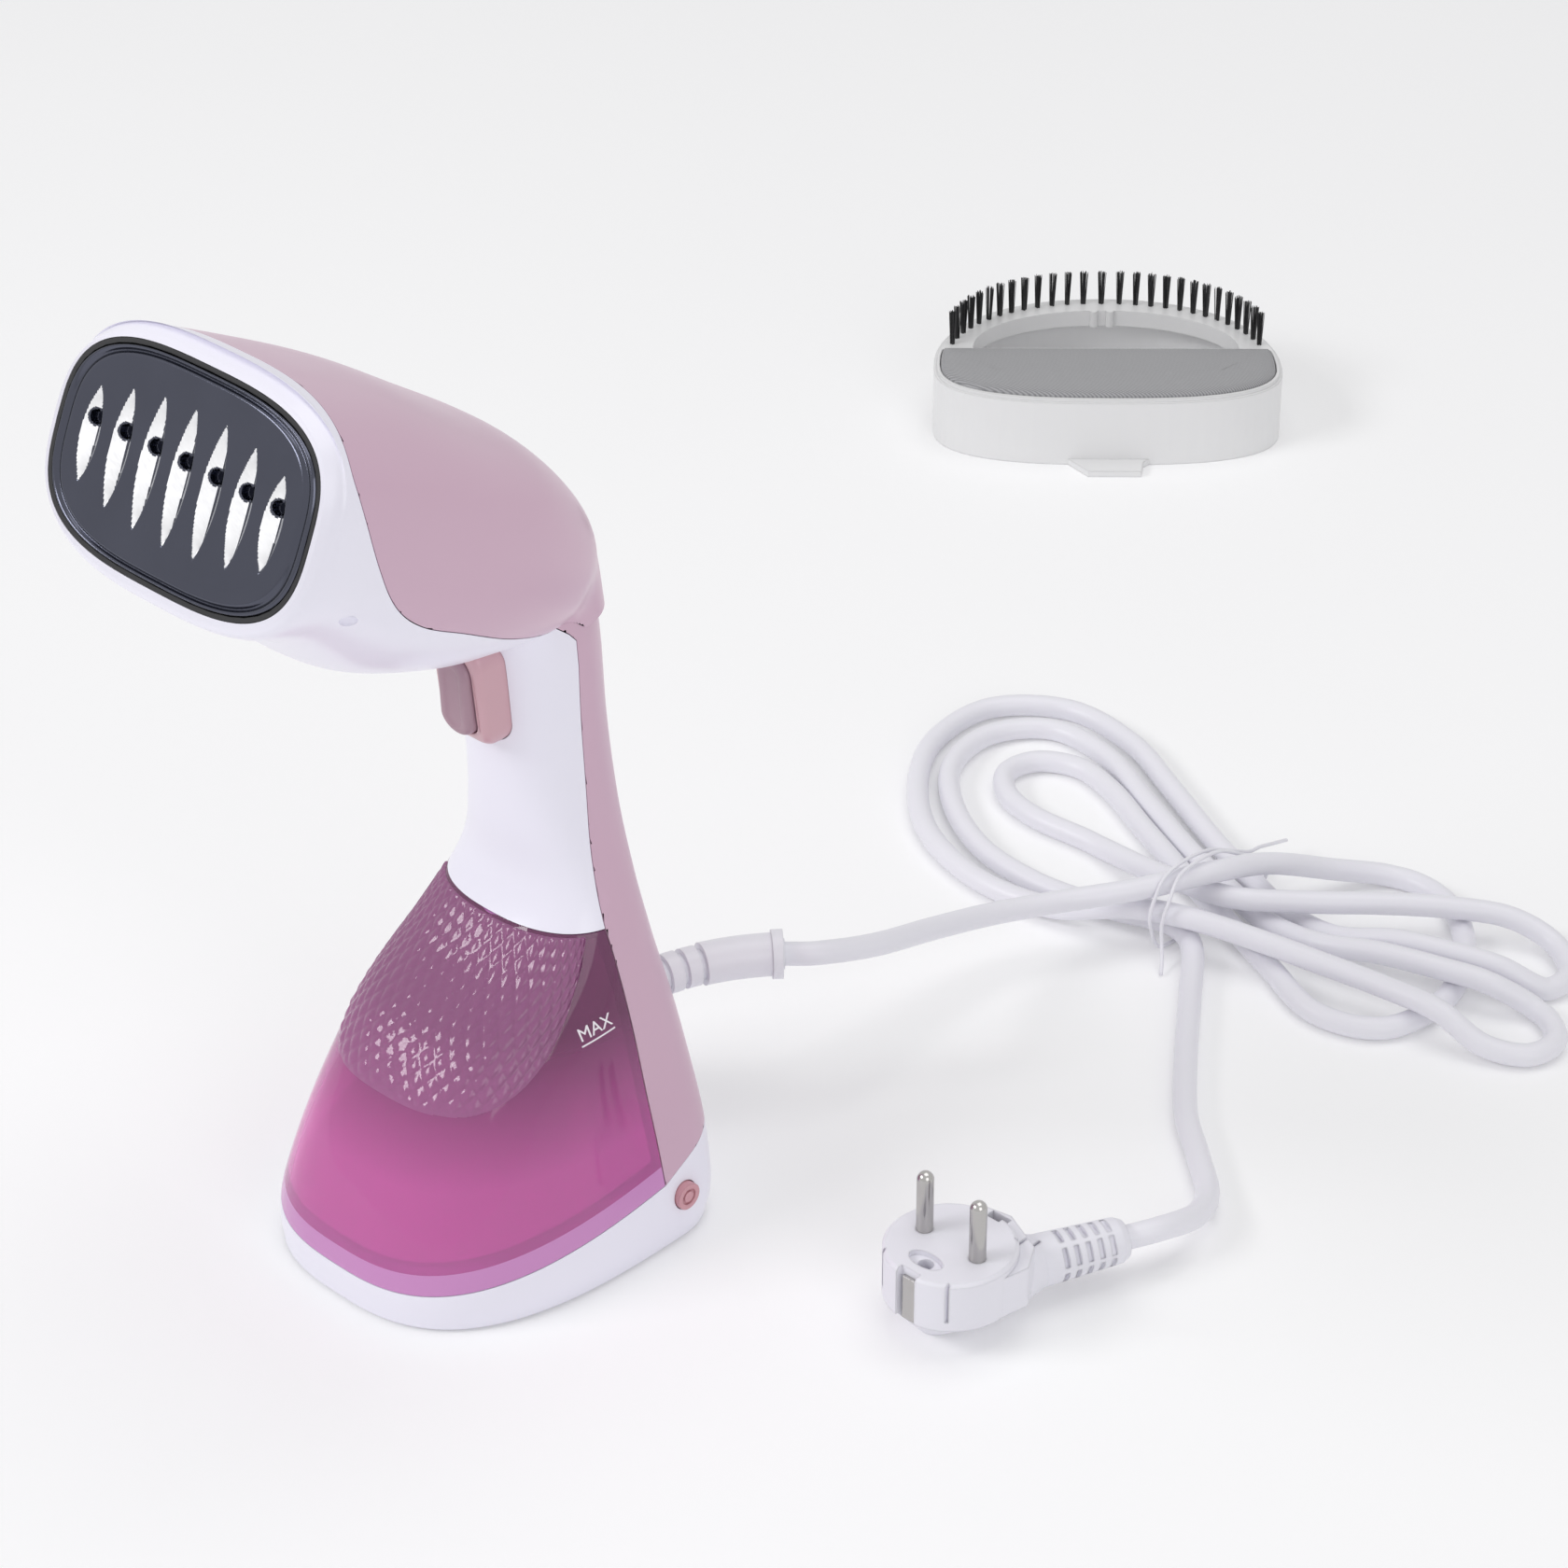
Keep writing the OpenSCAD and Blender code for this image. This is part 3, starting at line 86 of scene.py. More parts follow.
def new_object(name, verts, faces, angle=35):
    """A mesh object, smooth apart from edges sharper than angle."""
    mesh = bpy.data.meshes.new(name)
    mesh.from_pydata([tuple(v) for v in verts], [], faces)
    mesh.validate()
    obj = linked(name, mesh)
    shade(obj, angle)
    return obj


def shade(obj, angle):
    """Outward normals, smooth faces, and sharp edges where the faces turn by more than angle."""
    bm = bmesh.new()
    bm.from_mesh(obj.data)
    bmesh.ops.recalc_face_normals(bm, faces=bm.faces)
    limit = math.radians(angle)
    for f in bm.faces:
        f.smooth = True
    for e in bm.edges:
        e.smooth = len(e.link_faces) == 2 and e.calc_face_angle(0) < limit
    bm.to_mesh(obj.data)
    bm.free()


SLIVER = 0.6e-6      # faces below this area, in square metres, have no normal worth keeping
ON_FORM = 0.00005    # a vertex this near a form, in metres, lies on it
AGREES = 0.5         # least cosine between a form's normal and the face's own


def surface_of(form):
    """A form as a search tree, with its points, its faces and its smooth normals."""
    points = [v.co.copy() for v in form.data.vertices]
    polys = [tuple(f.vertices) for f in form.data.polygons]
    normals = [v.normal.copy() for v in form.data.vertices]
    return BVHTree.FromPolygons(points, polys), points, polys, normals


def normals_at(place, surfaces):
    """The smooth normal of each surface that the place lies on."""
    found = []
    for tree, points, polys, normals in surfaces:
        nearest, _, index, _ = tree.find_nearest(place, ON_FORM)
        if nearest is not None:
            weights = poly_3d_calc([points[k] for k in polys[index]], nearest)
            blend = sum((w * normals[k] for w, k in zip(weights, polys[index])), Vector())
            found.append(blend.normalized())
    return found


def shade_like(obj, forms):
    """Where obj still lies on one of the forms it was cut from, it takes that form's smooth normals."""
    surfaces = [surface_of(form) for form in forms]
    near = [normals_at(v.co, surfaces) for v in obj.data.vertices]
    corners = [c.vector.copy() for c in obj.data.corner_normals]
    for f in obj.data.polygons:
        sliver = f.area < SLIVER and all(near[v] for v in f.vertices)
        for k in f.loop_indices:
            found = near[obj.data.loops[k].vertex_index]
            if found:
                best = max(found, key=lambda normal: normal.dot(f.normal))
                if sliver or best.dot(f.normal) > AGREES:
                    corners[k] = best
    obj.data.normals_split_custom_set(corners)


def catmull(points, steps):
    """The points with steps smooth ones from each to the next."""
    p = np.asarray(points, float)
    p = np.vstack([2 * p[0] - p[1], p, 2 * p[-1] - p[-2]])
    out = []
    for i in range(1, len(p) - 2):
        for j in range(steps):
            t = j / steps
            out.append((2 * p[i] + (p[i + 1] - p[i - 1]) * t
                        + (2 * p[i - 1] - 5 * p[i] + 4 * p[i + 1] - p[i + 2]) * t * t
                        + (3 * p[i] - p[i - 1] - 3 * p[i + 1] + p[i + 2]) * t ** 3) / 2)
    out.append(p[-2])
    return np.array(out)


def power(v, n):
    """A sine or cosine bent to a superellipse of squareness n."""
    return np.sign(v) * np.abs(v) ** (2 / n)


def ring_faces(rings, count, closed):
    """Quads between neighbouring rings of count points. closed joins the last ring to the first."""
    faces = []
    for i in range(rings - 1 + closed):
        for k in range(count):
            n, j = (k + 1) % count, (i + 1) % rings
            faces.append((i * count + k, j * count + k, j * count + n, i * count + n))
    return faces


def rings_object(name, rings, angle=35, closed=False):
    """A solid through rings of equally many points, in millimetres, capped unless it is closed."""
    rings = np.asarray(rings, float) * MM
    count = rings.shape[1]
    faces = ring_faces(len(rings), count, closed)
    if not closed:
        faces.append(tuple(range(count)))
        faces.append(tuple(range(len(rings) * count - 1, (len(rings) - 1) * count - 1, -1)))
    return new_object(name, rings.reshape(-1, 3), faces, angle)


def sweep(points, radii, count, up=(0, 0, 1)):
    """Rings of the given radii round a path, square to it."""
    p = np.asarray(points, float)
    along = np.gradient(p, axis=0)
    along[0], along[-1] = p[1] - p[0], p[-1] - p[-2]
    along /= np.linalg.norm(along, axis=1)[:, None]
    across = np.cross(along, np.asarray(up, float))
    across /= np.linalg.norm(across, axis=1)[:, None]
    rise = np.cross(across, along)
    a = np.linspace(0, 2 * math.pi, count, endpoint=False)
    r = np.broadcast_to(np.asarray(radii, float), (len(p),))[:, None, None]
    return p[:, None] + r * (across[:, None] * np.cos(a)[None, :, None]
                             - rise[:, None] * np.sin(a)[None, :, None])


def final_mesh(obj):
    """The object's mesh with its modifiers applied."""
    graph = bpy.context.evaluated_depsgraph_get()
    return bpy.data.meshes.new_from_object(obj.evaluated_get(graph))


def boolean(obj, other, operation):
    """obj cut by, joined to or limited to other, which is removed."""
    mod = obj.modifiers.new("cut", "BOOLEAN")
    mod.operation = operation
    mod.solver = "MANIFOLD"
    mod.object = other
    mesh = final_mesh(obj)
    obj.modifiers.clear()
    obj.data = mesh
    bpy.data.objects.remove(other)
    return obj


def copy_of(obj):
    """A second object with a mesh of its own."""
    return linked(obj.name, obj.data.copy())


def block_faces(n):
    """The faces of a block whose two ends have n points each."""
    sides = [(k, (k + 1) % n, n + (k + 1) % n, n + k) for k in range(n)]
    return sides + [tuple(range(n - 1, -1, -1)), tuple(range(n, 2 * n))]


def prism(name, yz):
    """A side view, given as y and z, as a block across the whole width."""
    verts = [(x * MM, y * MM, z * MM) for x in (-ABOVE, ABOVE) for y, z in yz]
    return new_object(name, verts, block_faces(len(yz)))


def plate(name, outline, place, low, high):
    """An outline in u and v, extruded from low to high along w. place turns (u, v, w) into x, y, z."""
    verts = [np.array(place(u, v, w)) * MM for w in (low, high) for u, v in outline]
    return new_object(name, verts, block_faces(len(outline)))


def slab(name, near, far, angle):
    """A closed sheet between two grids of points, in millimetres. The faces of near come first."""
    rows, cols = near.shape[:2]
    half = rows * cols
    quads = [(r * cols + c, r * cols + c + 1, (r + 1) * cols + c + 1, (r + 1) * cols + c)
             for r in range(rows - 1) for c in range(cols - 1)]
    rim = [*range(cols), *(r * cols + cols - 1 for r in range(1, rows)),
           *((rows - 1) * cols + c for c in range(cols - 2, -1, -1)),
           *(r * cols for r in range(rows - 2, 0, -1))]
    walls = [(a, half + a, half + b, b) for a, b in zip(rim, rim[1:] + rim[:1])]
    backs = [tuple(half + k for k in reversed(q)) for q in quads]
    verts = np.vstack([near.reshape(-1, 3), far.reshape(-1, 3)]) * MM
    return new_object(name, verts, quads + backs + walls, angle)


def finished(obj, body, slot, material, *nodes):
    """obj rides on body, takes material as its finish and stands for the CAD nodes. slot is not used."""
    obj.data.materials.clear()
    obj.data.materials.append(material)
    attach(obj, body)
    if nodes:
        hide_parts(*nodes)
    return obj


# ---- materials -------------------------------------------


def srgb(r, g, b):
    """A colour as seen on a screen, 0 to 255, as linear light."""
    return tuple(c / 12.92 if c <= 0.04045 else ((c + 0.055) / 1.055) ** 2.4
                 for c in (r / 255, g / 255, b / 255)) + (1,)


class Nodes:
    """A material's nodes, with short calls to add and join them."""

    def __init__(self, name):
        self.material = bpy.data.materials.new(name)
        self.material.use_nodes = True
        self.tree = self.material.node_tree
        self.shader = self.tree.nodes["Principled BSDF"]
        self.coords = self.add("ShaderNodeTexCoord").outputs["Object"]

    def add(self, kind, **values):
        node = self.tree.nodes.new(kind)
        for key, value in values.items():
            if hasattr(node, key):
                setattr(node, key, value)
            else:
                node.inputs[key.replace("_", " ")].default_value = value
        return node

    def join(self, a, b):
        self.tree.links.new(a, b)

    def feed(self, **sources):
        for key, source in sources.items():
            self.join(source, self.shader.inputs[key.replace("_", " ")])

    def set(self, **values):
        for key, value in values.items():
            self.shader.inputs[key.replace("_", " ")].default_value = value

    def noise(self, scale, detail=3, rough=0.5, stretch=None):
        node = self.add("ShaderNodeTexNoise", Scale=scale, Detail=detail, Roughness=rough)
        source = self.coords
        if stretch:
            mapping = self.add("ShaderNodeMapping")
            mapping.inputs["Scale"].default_value = stretch
            self.join(source, mapping.inputs["Vector"])
            source = mapping.outputs["Vector"]
        self.join(source, node.inputs["Vector"])
        return node.outputs["Fac"]

    def ramp(self, source, low, high, to_low, to_high):
        node = self.add("ShaderNodeMapRange")
        for key, value in zip(("From Min", "From Max", "To Min", "To Max"),
                              (low, high, to_low, to_high)):
            node.inputs[key].default_value = value
        self.join(source, node.inputs["Value"])
        return node.outputs["Result"]

    def blend(self, source, a, b):
        node = self.add("ShaderNodeMix", data_type="RGBA")
        self.join(source, node.inputs[0])
        node.inputs[6].default_value = a
        node.inputs[7].default_value = b
        return node.outputs[2]

    def bump(self, source, height, strength=1.0, normal=None):
        node = self.add("ShaderNodeBump", Strength=strength, Distance=height)
        self.join(source, node.inputs["Height"])
        if normal:
            self.join(normal, node.inputs["Normal"])
        return node.outputs["Normal"]

    def soft_edges(self, radius):
        return self.add("ShaderNodeBevel", samples=4, Radius=radius).outputs["Normal"]


def moulded(name, colour, rough=0.3, grain=0.00002, grain_scale=2500, edge=0.0004,
            vary=0.04, coat=0.0, sss=0.0):
    """Moulded plastic: slow drift of shade, a fine grain, and gently rounded edges."""
    n = Nodes(name)
    dark = tuple(c * (1 - vary) for c in colour[:3]) + (1,)
    n.feed(Base_Color=n.blend(n.noise(22, 4), dark, colour))
    n.feed(Roughness=n.ramp(n.noise(40, 1), 0.2, 0.8, rough - 0.03, rough + 0.03))
    normal = n.soft_edges(edge) if edge else None
    n.feed(Normal=n.bump(n.noise(grain_scale, 2), grain, 0.5, normal))
    n.set(IOR=1.49, Coat_Weight=coat, Coat_Roughness=0.08)
    if sss:
        n.set(Subsurface_Weight=sss, Subsurface_Radius=(0.004, 0.0035, 0.004), Subsurface_Scale=1.0)
    return n.material


def metal(name, colour, rough=0.2, stretch=(1, 1, 1), scale=900, edge=0.0003):
    """Metal with fine drawing lines and a little uneven polish."""
    n = Nodes(name)
    dull = tuple(c * 0.86 for c in colour[:3]) + (1,)
    n.feed(Base_Color=n.blend(n.noise(70, 5), dull, colour))
    n.feed(Roughness=n.ramp(n.noise(scale, 3, 0.6, stretch), 0.25, 0.75, rough * 0.7, rough * 1.4))
    n.feed(Normal=n.bump(n.noise(scale, 3, 0.6, stretch), 0.00001, 0.4, n.soft_edges(edge)))
    n.set(Metallic=1.0)
    return n.material


def clear_tint(name, colour, lower_colour, rough, level, ior=1.46):
    """Tinted clear plastic, darker towards the bottom of each piece."""
    n = Nodes(name)
    split = n.add("ShaderNodeSeparateXYZ")
    n.join(n.coords, split.inputs[0])
    mix = n.ramp(split.outputs["Z"], 0.04, 0.075, 0.0, 1.0)
    n.feed(Base_Color=n.blend(mix, colour, lower_colour))
    n.feed(Roughness=n.ramp(n.noise(40, 4), 0.3, 0.7, rough * 0.6, rough * 1.4))
    n.feed(Normal=n.bump(n.noise(180, 2), 0.00003, 0.25))
    n.set(Transmission_Weight=level, IOR=ior)
    return n.material


WHITE = moulded("shell_white", srgb(240, 238, 250), 0.3, grain=0.000003, vary=0.015, edge=0, coat=0.15)
PINK = moulded("cover_pink", srgb(208, 174, 194), 0.32, grain=0.000003, vary=0.02, edge=0, coat=0.15)
BAND = moulded("band_orchid", srgb(203, 138, 196), 0.24, vary=0.02, edge=0, coat=0.3)
FRAME = moulded("frame_pink", srgb(208, 166, 176), 0.33, coat=0.1)
MAUVE = moulded("trigger_mauve", srgb(168, 136, 150), 0.4)
BUTTON = moulded("button_rose", srgb(206, 150, 160), 0.34, coat=0.1)
VINYL = moulded("lead_vinyl", srgb(236, 235, 242), 0.38, grain=0.00004, grain_scale=1400, sss=0.08)
PLUG = moulded("plug_vinyl", srgb(233, 232, 240), 0.4, grain=0.00004, grain_scale=1600,
               edge=0.0009, sss=0.08)
TANK = clear_tint("tank_magenta", srgb(250, 140, 219), srgb(160, 88, 138), 0.05, 0.6)
QUILT = clear_tint("tank_quilt", srgb(206, 124, 184), srgb(170, 106, 153), 0.08, 0.35)
TUBE = clear_tint("clear_tube", srgb(240, 170, 215), srgb(240, 175, 215), 0.1, 0.6, 1.42)
RUBBER = moulded("dark_rubber", srgb(34, 34, 37), 0.6, grain=0.00006, grain_scale=900)
INNER = moulded("inner_plastic", srgb(214, 213, 219), 0.5, grain=0.00006, grain_scale=800)
DARK = moulded("dark_plastic", srgb(38, 38, 42), 0.45, grain=0.00006, grain_scale=800)
HOSE = moulded("hose_silicone", srgb(205, 200, 208), 0.35, sss=0.2, edge=0.0003)
BRUSH = moulded("brush_white", srgb(232, 232, 233), 0.34, edge=0.0009, coat=0.1)
# The plate's steel is painted dark grey, a painted reflection of dark surroundings.
PAINTED_DARK_STEEL = metal("polished_steel_painted_dark", srgb(88, 90, 102), 0.14, (1, 12, 1), 500)
# Near-white copy of the plate's steel for the channels' left flanks: a painted highlight where they would
# reflect the light.
PAINTED_HIGHLIGHT_STEEL = metal("channel_flank_painted_highlight", srgb(252, 252, 254), 0.4, (1, 12, 1), 500)
MARK = moulded("mark_white", srgb(244, 240, 246), 0.5, edge=0)
PIN = metal("nickel_pin", srgb(190, 188, 186), 0.16, (1, 1, 8), 700)
SPRING = metal("spring_steel", srgb(160, 160, 162), 0.3, (1, 1, 1), 900)
CAST = metal("cast_alloy", srgb(150, 150, 154), 0.5, (1, 1, 1), 300)


def board_material():
    """Lacquered circuit board with a fine pattern of tracks."""
    n = Nodes("circuit_board")
    brick = n.add("ShaderNodeTexBrick", Scale=160.0)
    brick.inputs["Color1"].default_value = srgb(34, 96, 58)
    brick.inputs["Color2"].default_value = srgb(28, 84, 50)
    brick.inputs["Mortar"].default_value = srgb(70, 130, 80)
    n.join(n.coords, brick.inputs["Vector"])
    n.feed(Base_Color=brick.outputs["Color"])
    n.feed(Normal=n.bump(brick.outputs["Fac"], 0.00005, 0.6))
    n.set(Roughness=0.35)
    return n.material


def wire_material():
    """Red wire insulation."""
    n = Nodes("wire_red")
    n.feed(Base_Color=n.blend(n.noise(120, 3), srgb(170, 50, 46), srgb(196, 62, 54)))
    n.feed(Normal=n.bump(n.noise(1500, 2), 0.00003, 0.5))
    n.set(Roughness=0.4)
    return n.material


def twill_material():
    """Grey twill: fine diagonal ribs of woven yarn."""
    n = Nodes("grey_twill")
    wave = n.add("ShaderNodeTexWave", Scale=420.0, Distortion=1.2, Detail=2.0)
    mapping = n.add("ShaderNodeMapping")
    mapping.inputs["Rotation"].default_value = (0, 0, math.radians(76))
    n.join(n.coords, mapping.inputs["Vector"])
    n.join(mapping.outputs["Vector"], wave.inputs["Vector"])
    yarn = wave.outputs["Fac"]
    n.feed(Base_Color=n.blend(yarn, srgb(138, 138, 141), srgb(176, 176, 179)))
    ribs = n.bump(yarn, 0.00025, 0.8)
    n.feed(Normal=n.bump(n.noise(2600, 2), 0.00004, 0.6, ribs))
    n.set(Roughness=0.85, Sheen_Weight=0.3)
    return n.material


TWILL = twill_material()
BRISTLE = moulded("nylon_bristle", srgb(42, 42, 44), 0.38, edge=0, grain_scale=3000)
BOARD = board_material()
WIRE = wire_material()

# ---- outer form, with the sizes of the part's source -----

TANK_TOP, HANDLE_H, HEAD_REACH, HEAD_RISE = 97, 83, 107, 87
HANDLE_W, BASE_W, HEAD_W, PLATE_W, PLATE_H = 37, 104, 100, 90, 54
HANDLE_FRONT, BASE_FRONT, HANDLE_BACK, BASE_BACK = 12, 75, 24, 33
NECK_Z = TANK_TOP + HANDLE_H
FACE_Z = NECK_Z + HEAD_RISE
TILT = math.radians(24)
WALL, TANK_WALL, GAP, SEAM_Y, FOOT_H = 2.2, 2.2, 0.3, 2, 1
DECK_H, BASE_FRONT_H, BASE_BACK_H, BAND_H = 21.5, 11, 35, 5.8
GASKET_W, PLATE_T = 1.3, 2.6
FACE_N = 3.1         # squareness of the steam face's outline
SIDES = 144

# Each level has its height, how far front, back and width are on their way from the handle (0) to
# the base (1), the share of the depth in front of the widest point, and the squareness.
PEDESTAL_LEVELS = [
    (0, 1, 1, 0.955, 0.74, 2.8), (TANK_TOP * 0.12, 1, 1, 1, 0.77, 2.8),
    (TANK_TOP * 0.31, 0.93, 0.94, 0.90, 0.80, 2.7), (TANK_TOP * 0.52, 0.77, 0.78, 0.745, 0.78, 2.7),
    (TANK_TOP * 0.72, 0.55, 0.61, 0.60, 0.72, 2.6), (TANK_TOP * 0.91, 0.15, 0.28, 0.43, 0.62, 2.5),
    (TANK_TOP + HANDLE_H * 0.1, -0.05, 0.11, 0.25, 0.55, 2.4),
    (TANK_TOP + HANDLE_H * 0.34, -0.04, 0.11, 0.075, 0.51, 2.4),
    (TANK_TOP + HANDLE_H * 0.64, 0, 0, 0, 0.50, 2.3), (NECK_Z, 0.04, -0.22, 0, 0.50, 2.3),
    (NECK_Z + HANDLE_H * 0.3, 0.11, -0.78, 0.015, 0.50, 2.3)]


def pedestal_row(level):
    """y and z in front, y and z behind, half width, share and squareness, as section() takes them."""
    z, front, back, width, share, n = level
    y0 = -(HANDLE_FRONT + (BASE_FRONT - HANDLE_FRONT) * front)
    y1 = HANDLE_BACK + (BASE_BACK - HANDLE_BACK) * back
    return (y0, z, y1, z, (HANDLE_W + (BASE_W - HANDLE_W) * width) / 2, share, n)


PEDESTAL = np.array([pedestal_row(level) for level in PEDESTAL_LEVELS])


def face_row(depth, half_w, half_h):
    """The head's row at a depth behind the steam face, in its tilt."""
    y = -HEAD_REACH + depth * math.cos(TILT)
    z = FACE_Z - depth * math.sin(TILT)
    dy, dz = half_h * math.sin(TILT), half_h * math.cos(TILT)
    return (y - dy, z - dz, y + dy, z + dz, half_w, 0.5, 2.9)


# Each level has the reach and rise of its lower edge and of its upper edge, as shares of the head's,
# then the half width and the squareness.
HEAD_LEVELS = [
    (-0.02, 0.02, -0.19, 0.11, HANDLE_W * 0.52, 2.3), (0.04, 0.05, -0.15, 0.33, HANDLE_W * 0.61, 2.3),
    (0.15, 0.08, -0.07, 0.53, HEAD_W * 0.31, 2.3), (0.32, 0.13, 0.09, 0.75, HEAD_W * 0.38, 2.4),
    (0.52, 0.20, 0.30, 0.94, HEAD_W * 0.43, 2.5), (0.77, 0.34, 0.53, 1.13, HEAD_W * 0.465, 2.6),
    (0.96, 0.55, 0.83, 1.32, HEAD_W * 0.5, 2.8)]
RIM = GASKET_W + 1.2


def head_rows(inset):
    """The head's rows from the neck to inset behind the steam face."""
    rows = [(-a * HEAD_REACH, NECK_Z + b * HEAD_RISE, -c * HEAD_REACH, NECK_Z + d * HEAD_RISE, w, 0.5, n)
            for a, b, c, d, w, n in HEAD_LEVELS]
    rows.append(face_row(4, PLATE_W / 2 + RIM + 1.8, PLATE_H / 2 + RIM + 3.2))
    rows.append(face_row(inset, PLATE_W / 2 + RIM, PLATE_H / 2 + RIM + 0.6))
    return np.array(rows)


def section(row, inset, count):
    """A closed ring between two points of the side view."""
    front, back = np.array(row[0:2]), np.array(row[2:4])
    run = back - front
    length = np.linalg.norm(run)
    direction, depth = run / length, length - 2 * inset
    widest = front + direction * (inset + depth * row[5])
    a = np.linspace(0, 2 * math.pi, count, endpoint=False)
    side, q = power(np.cos(a), row[6]), power(np.sin(a), row[6])
    p = widest + (q * depth * np.where(q < 0, row[5], 1 - row[5]))[:, None] * direction
    return np.column_stack([(row[4] - inset) * side, p[:, 0], p[:, 1]])


def loft(name, rows, inset, steps, count):
    """A solid through the rows, shrunk by inset."""
    fine = catmull(rows, steps)
    return rings_object(name, [section(r, inset, count) for r in fine])


def skin(inset, steps=8, count=SIDES):
    """The whole outer form, shrunk by inset."""
    body = loft("skin", PEDESTAL, inset, steps, count)
    return boolean(body, loft("skin_head", head_rows(inset), inset, steps, count), "UNION")


FINE_PEDESTAL = catmull(PEDESTAL, 8)


def pedestal_at(z):
    """The pedestal's row at a height."""
    row = [np.interp(z, FINE_PEDESTAL[:, 1], FINE_PEDESTAL[:, i]) for i in range(7)]
    row[1] = row[3] = z
    return row


def at_face(u, v, w):
    """u across the steam face, v up it, w out of it."""
    return (u, -HEAD_REACH + v * math.sin(TILT) - w * math.cos(TILT),
            FACE_Z + v * math.cos(TILT) + w * math.sin(TILT))


DECK_SLOPE = (DECK_H - BASE_FRONT_H) / (BASE_FRONT + SEAM_Y)
HEEL_SLOPE = (BASE_BACK_H - DECK_H) / (BASE_BACK - SEAM_Y)


def deck_at(y):
    """Height of the base's top edge in front of the seam."""
    return DECK_H - DECK_SLOPE * (SEAM_Y - y)


def deck_line(back, low, high=None):
    """The deck's slope from far in front to back, lifted by low, and by high on the way back."""
    line = [(-FAR, deck_at(-FAR) + low), (back, deck_at(back) + low)]
    return line if high is None else line + [(back, deck_at(back) + high), (-FAR, deck_at(-FAR) + high)]


def base_edge(lift):
    """The base's top edge, down the deck and up to the heel."""
    return [*deck_line(SEAM_Y, lift), (FAR, DECK_H + HEEL_SLOPE * (FAR - SEAM_Y) + lift)]


def on_head(reach, rise):
    """y and z at shares of the head's reach and rise."""
    return (-reach * HEAD_REACH, NECK_Z + rise * HEAD_RISE)


GRIP_SEAM = catmull([(SEAM_Y + 1.5, TANK_TOP + HANDLE_H * 0.2), (SEAM_Y + 3.5, TANK_TOP + HANDLE_H * 0.5),
                     (SEAM_Y + 3, NECK_Z - HANDLE_H * 0.08)], 8)
HEAD_SEAM = catmull([on_head(0.03, 0.1), on_head(0.3, 0.28), on_head(0.51, 0.44), on_head(0.67, 0.56),
                     on_head(0.77, 0.69), on_head(0.83, 0.86), on_head(0.87, 1.08), on_head(0.86, 1.2),
                     on_head(0.78, 1.34), on_head(0.70, 1.45)], 8)
COVER_EDGE = np.vstack([[(SEAM_Y, 0), (SEAM_Y, TANK_TOP)], GRIP_SEAM,
                        [on_head(-0.04, 0.02), on_head(-0.015, 0.055)], HEAD_SEAM])


def beside(line, offset):
    """A line moved sideways, to the left of the way it runs."""
    line = np.asarray(line, float)
    run = np.gradient(line, axis=0)
    run /= np.linalg.norm(run, axis=1)[:, None]
    return line + offset * np.column_stack([-run[:, 1], run[:, 0]])


def cover_side(offset):
    """Everything behind the cover's edge."""
    behind = [(-HEAD_REACH * 0.5, ABOVE), (FAR, ABOVE), (FAR, 0)]
    return prism("cover_side", [*beside(COVER_EDGE, offset), *behind])


def cushion(w, h, n, count):
    """A superellipse's outline."""
    a = np.linspace(0, 2 * math.pi, count, endpoint=False)
    return np.column_stack([w / 2 * power(np.cos(a), n), h / 2 * power(np.sin(a), n)])


def capsule(w, h, r, steps=16):
    """A rectangle's outline with round corners."""
    out = []
    for i, (sx, sy) in enumerate([(1, 1), (-1, 1), (-1, -1), (1, -1)]):
        for j in range(steps + 1):
            a = math.pi / 2 * (i + j / steps)
            out.append((sx * (w / 2 - r) + r * math.cos(a), sy * (h / 2 - r) + r * math.sin(a)))
    return out


# ---- mains lead ------------------------------------------

CORD_D, TIE_D, BOOT_D, BOOT_BEND, BOOT_Z = 7, 1.2, 12, 72, 45
EXIT_Y = pedestal_at(BOOT_Z)[2]
BOOT_TURN = math.radians(44)
PLUG_X, PLUG_Y, PLUG_TURN = 128, 32.5, math.radians(66)
PLUG_D, RELIEF_Z = 37, 12
RELIEF_START = PLUG_D / 2 + 7
RELIEF_REACH = RELIEF_START + 26.5


def on_boot(a):
    """The boot's centre line, an arc from the exit."""
    return np.array([BOOT_BEND * (1 - math.cos(a)), EXIT_Y + BOOT_BEND * math.sin(a), BOOT_Z])


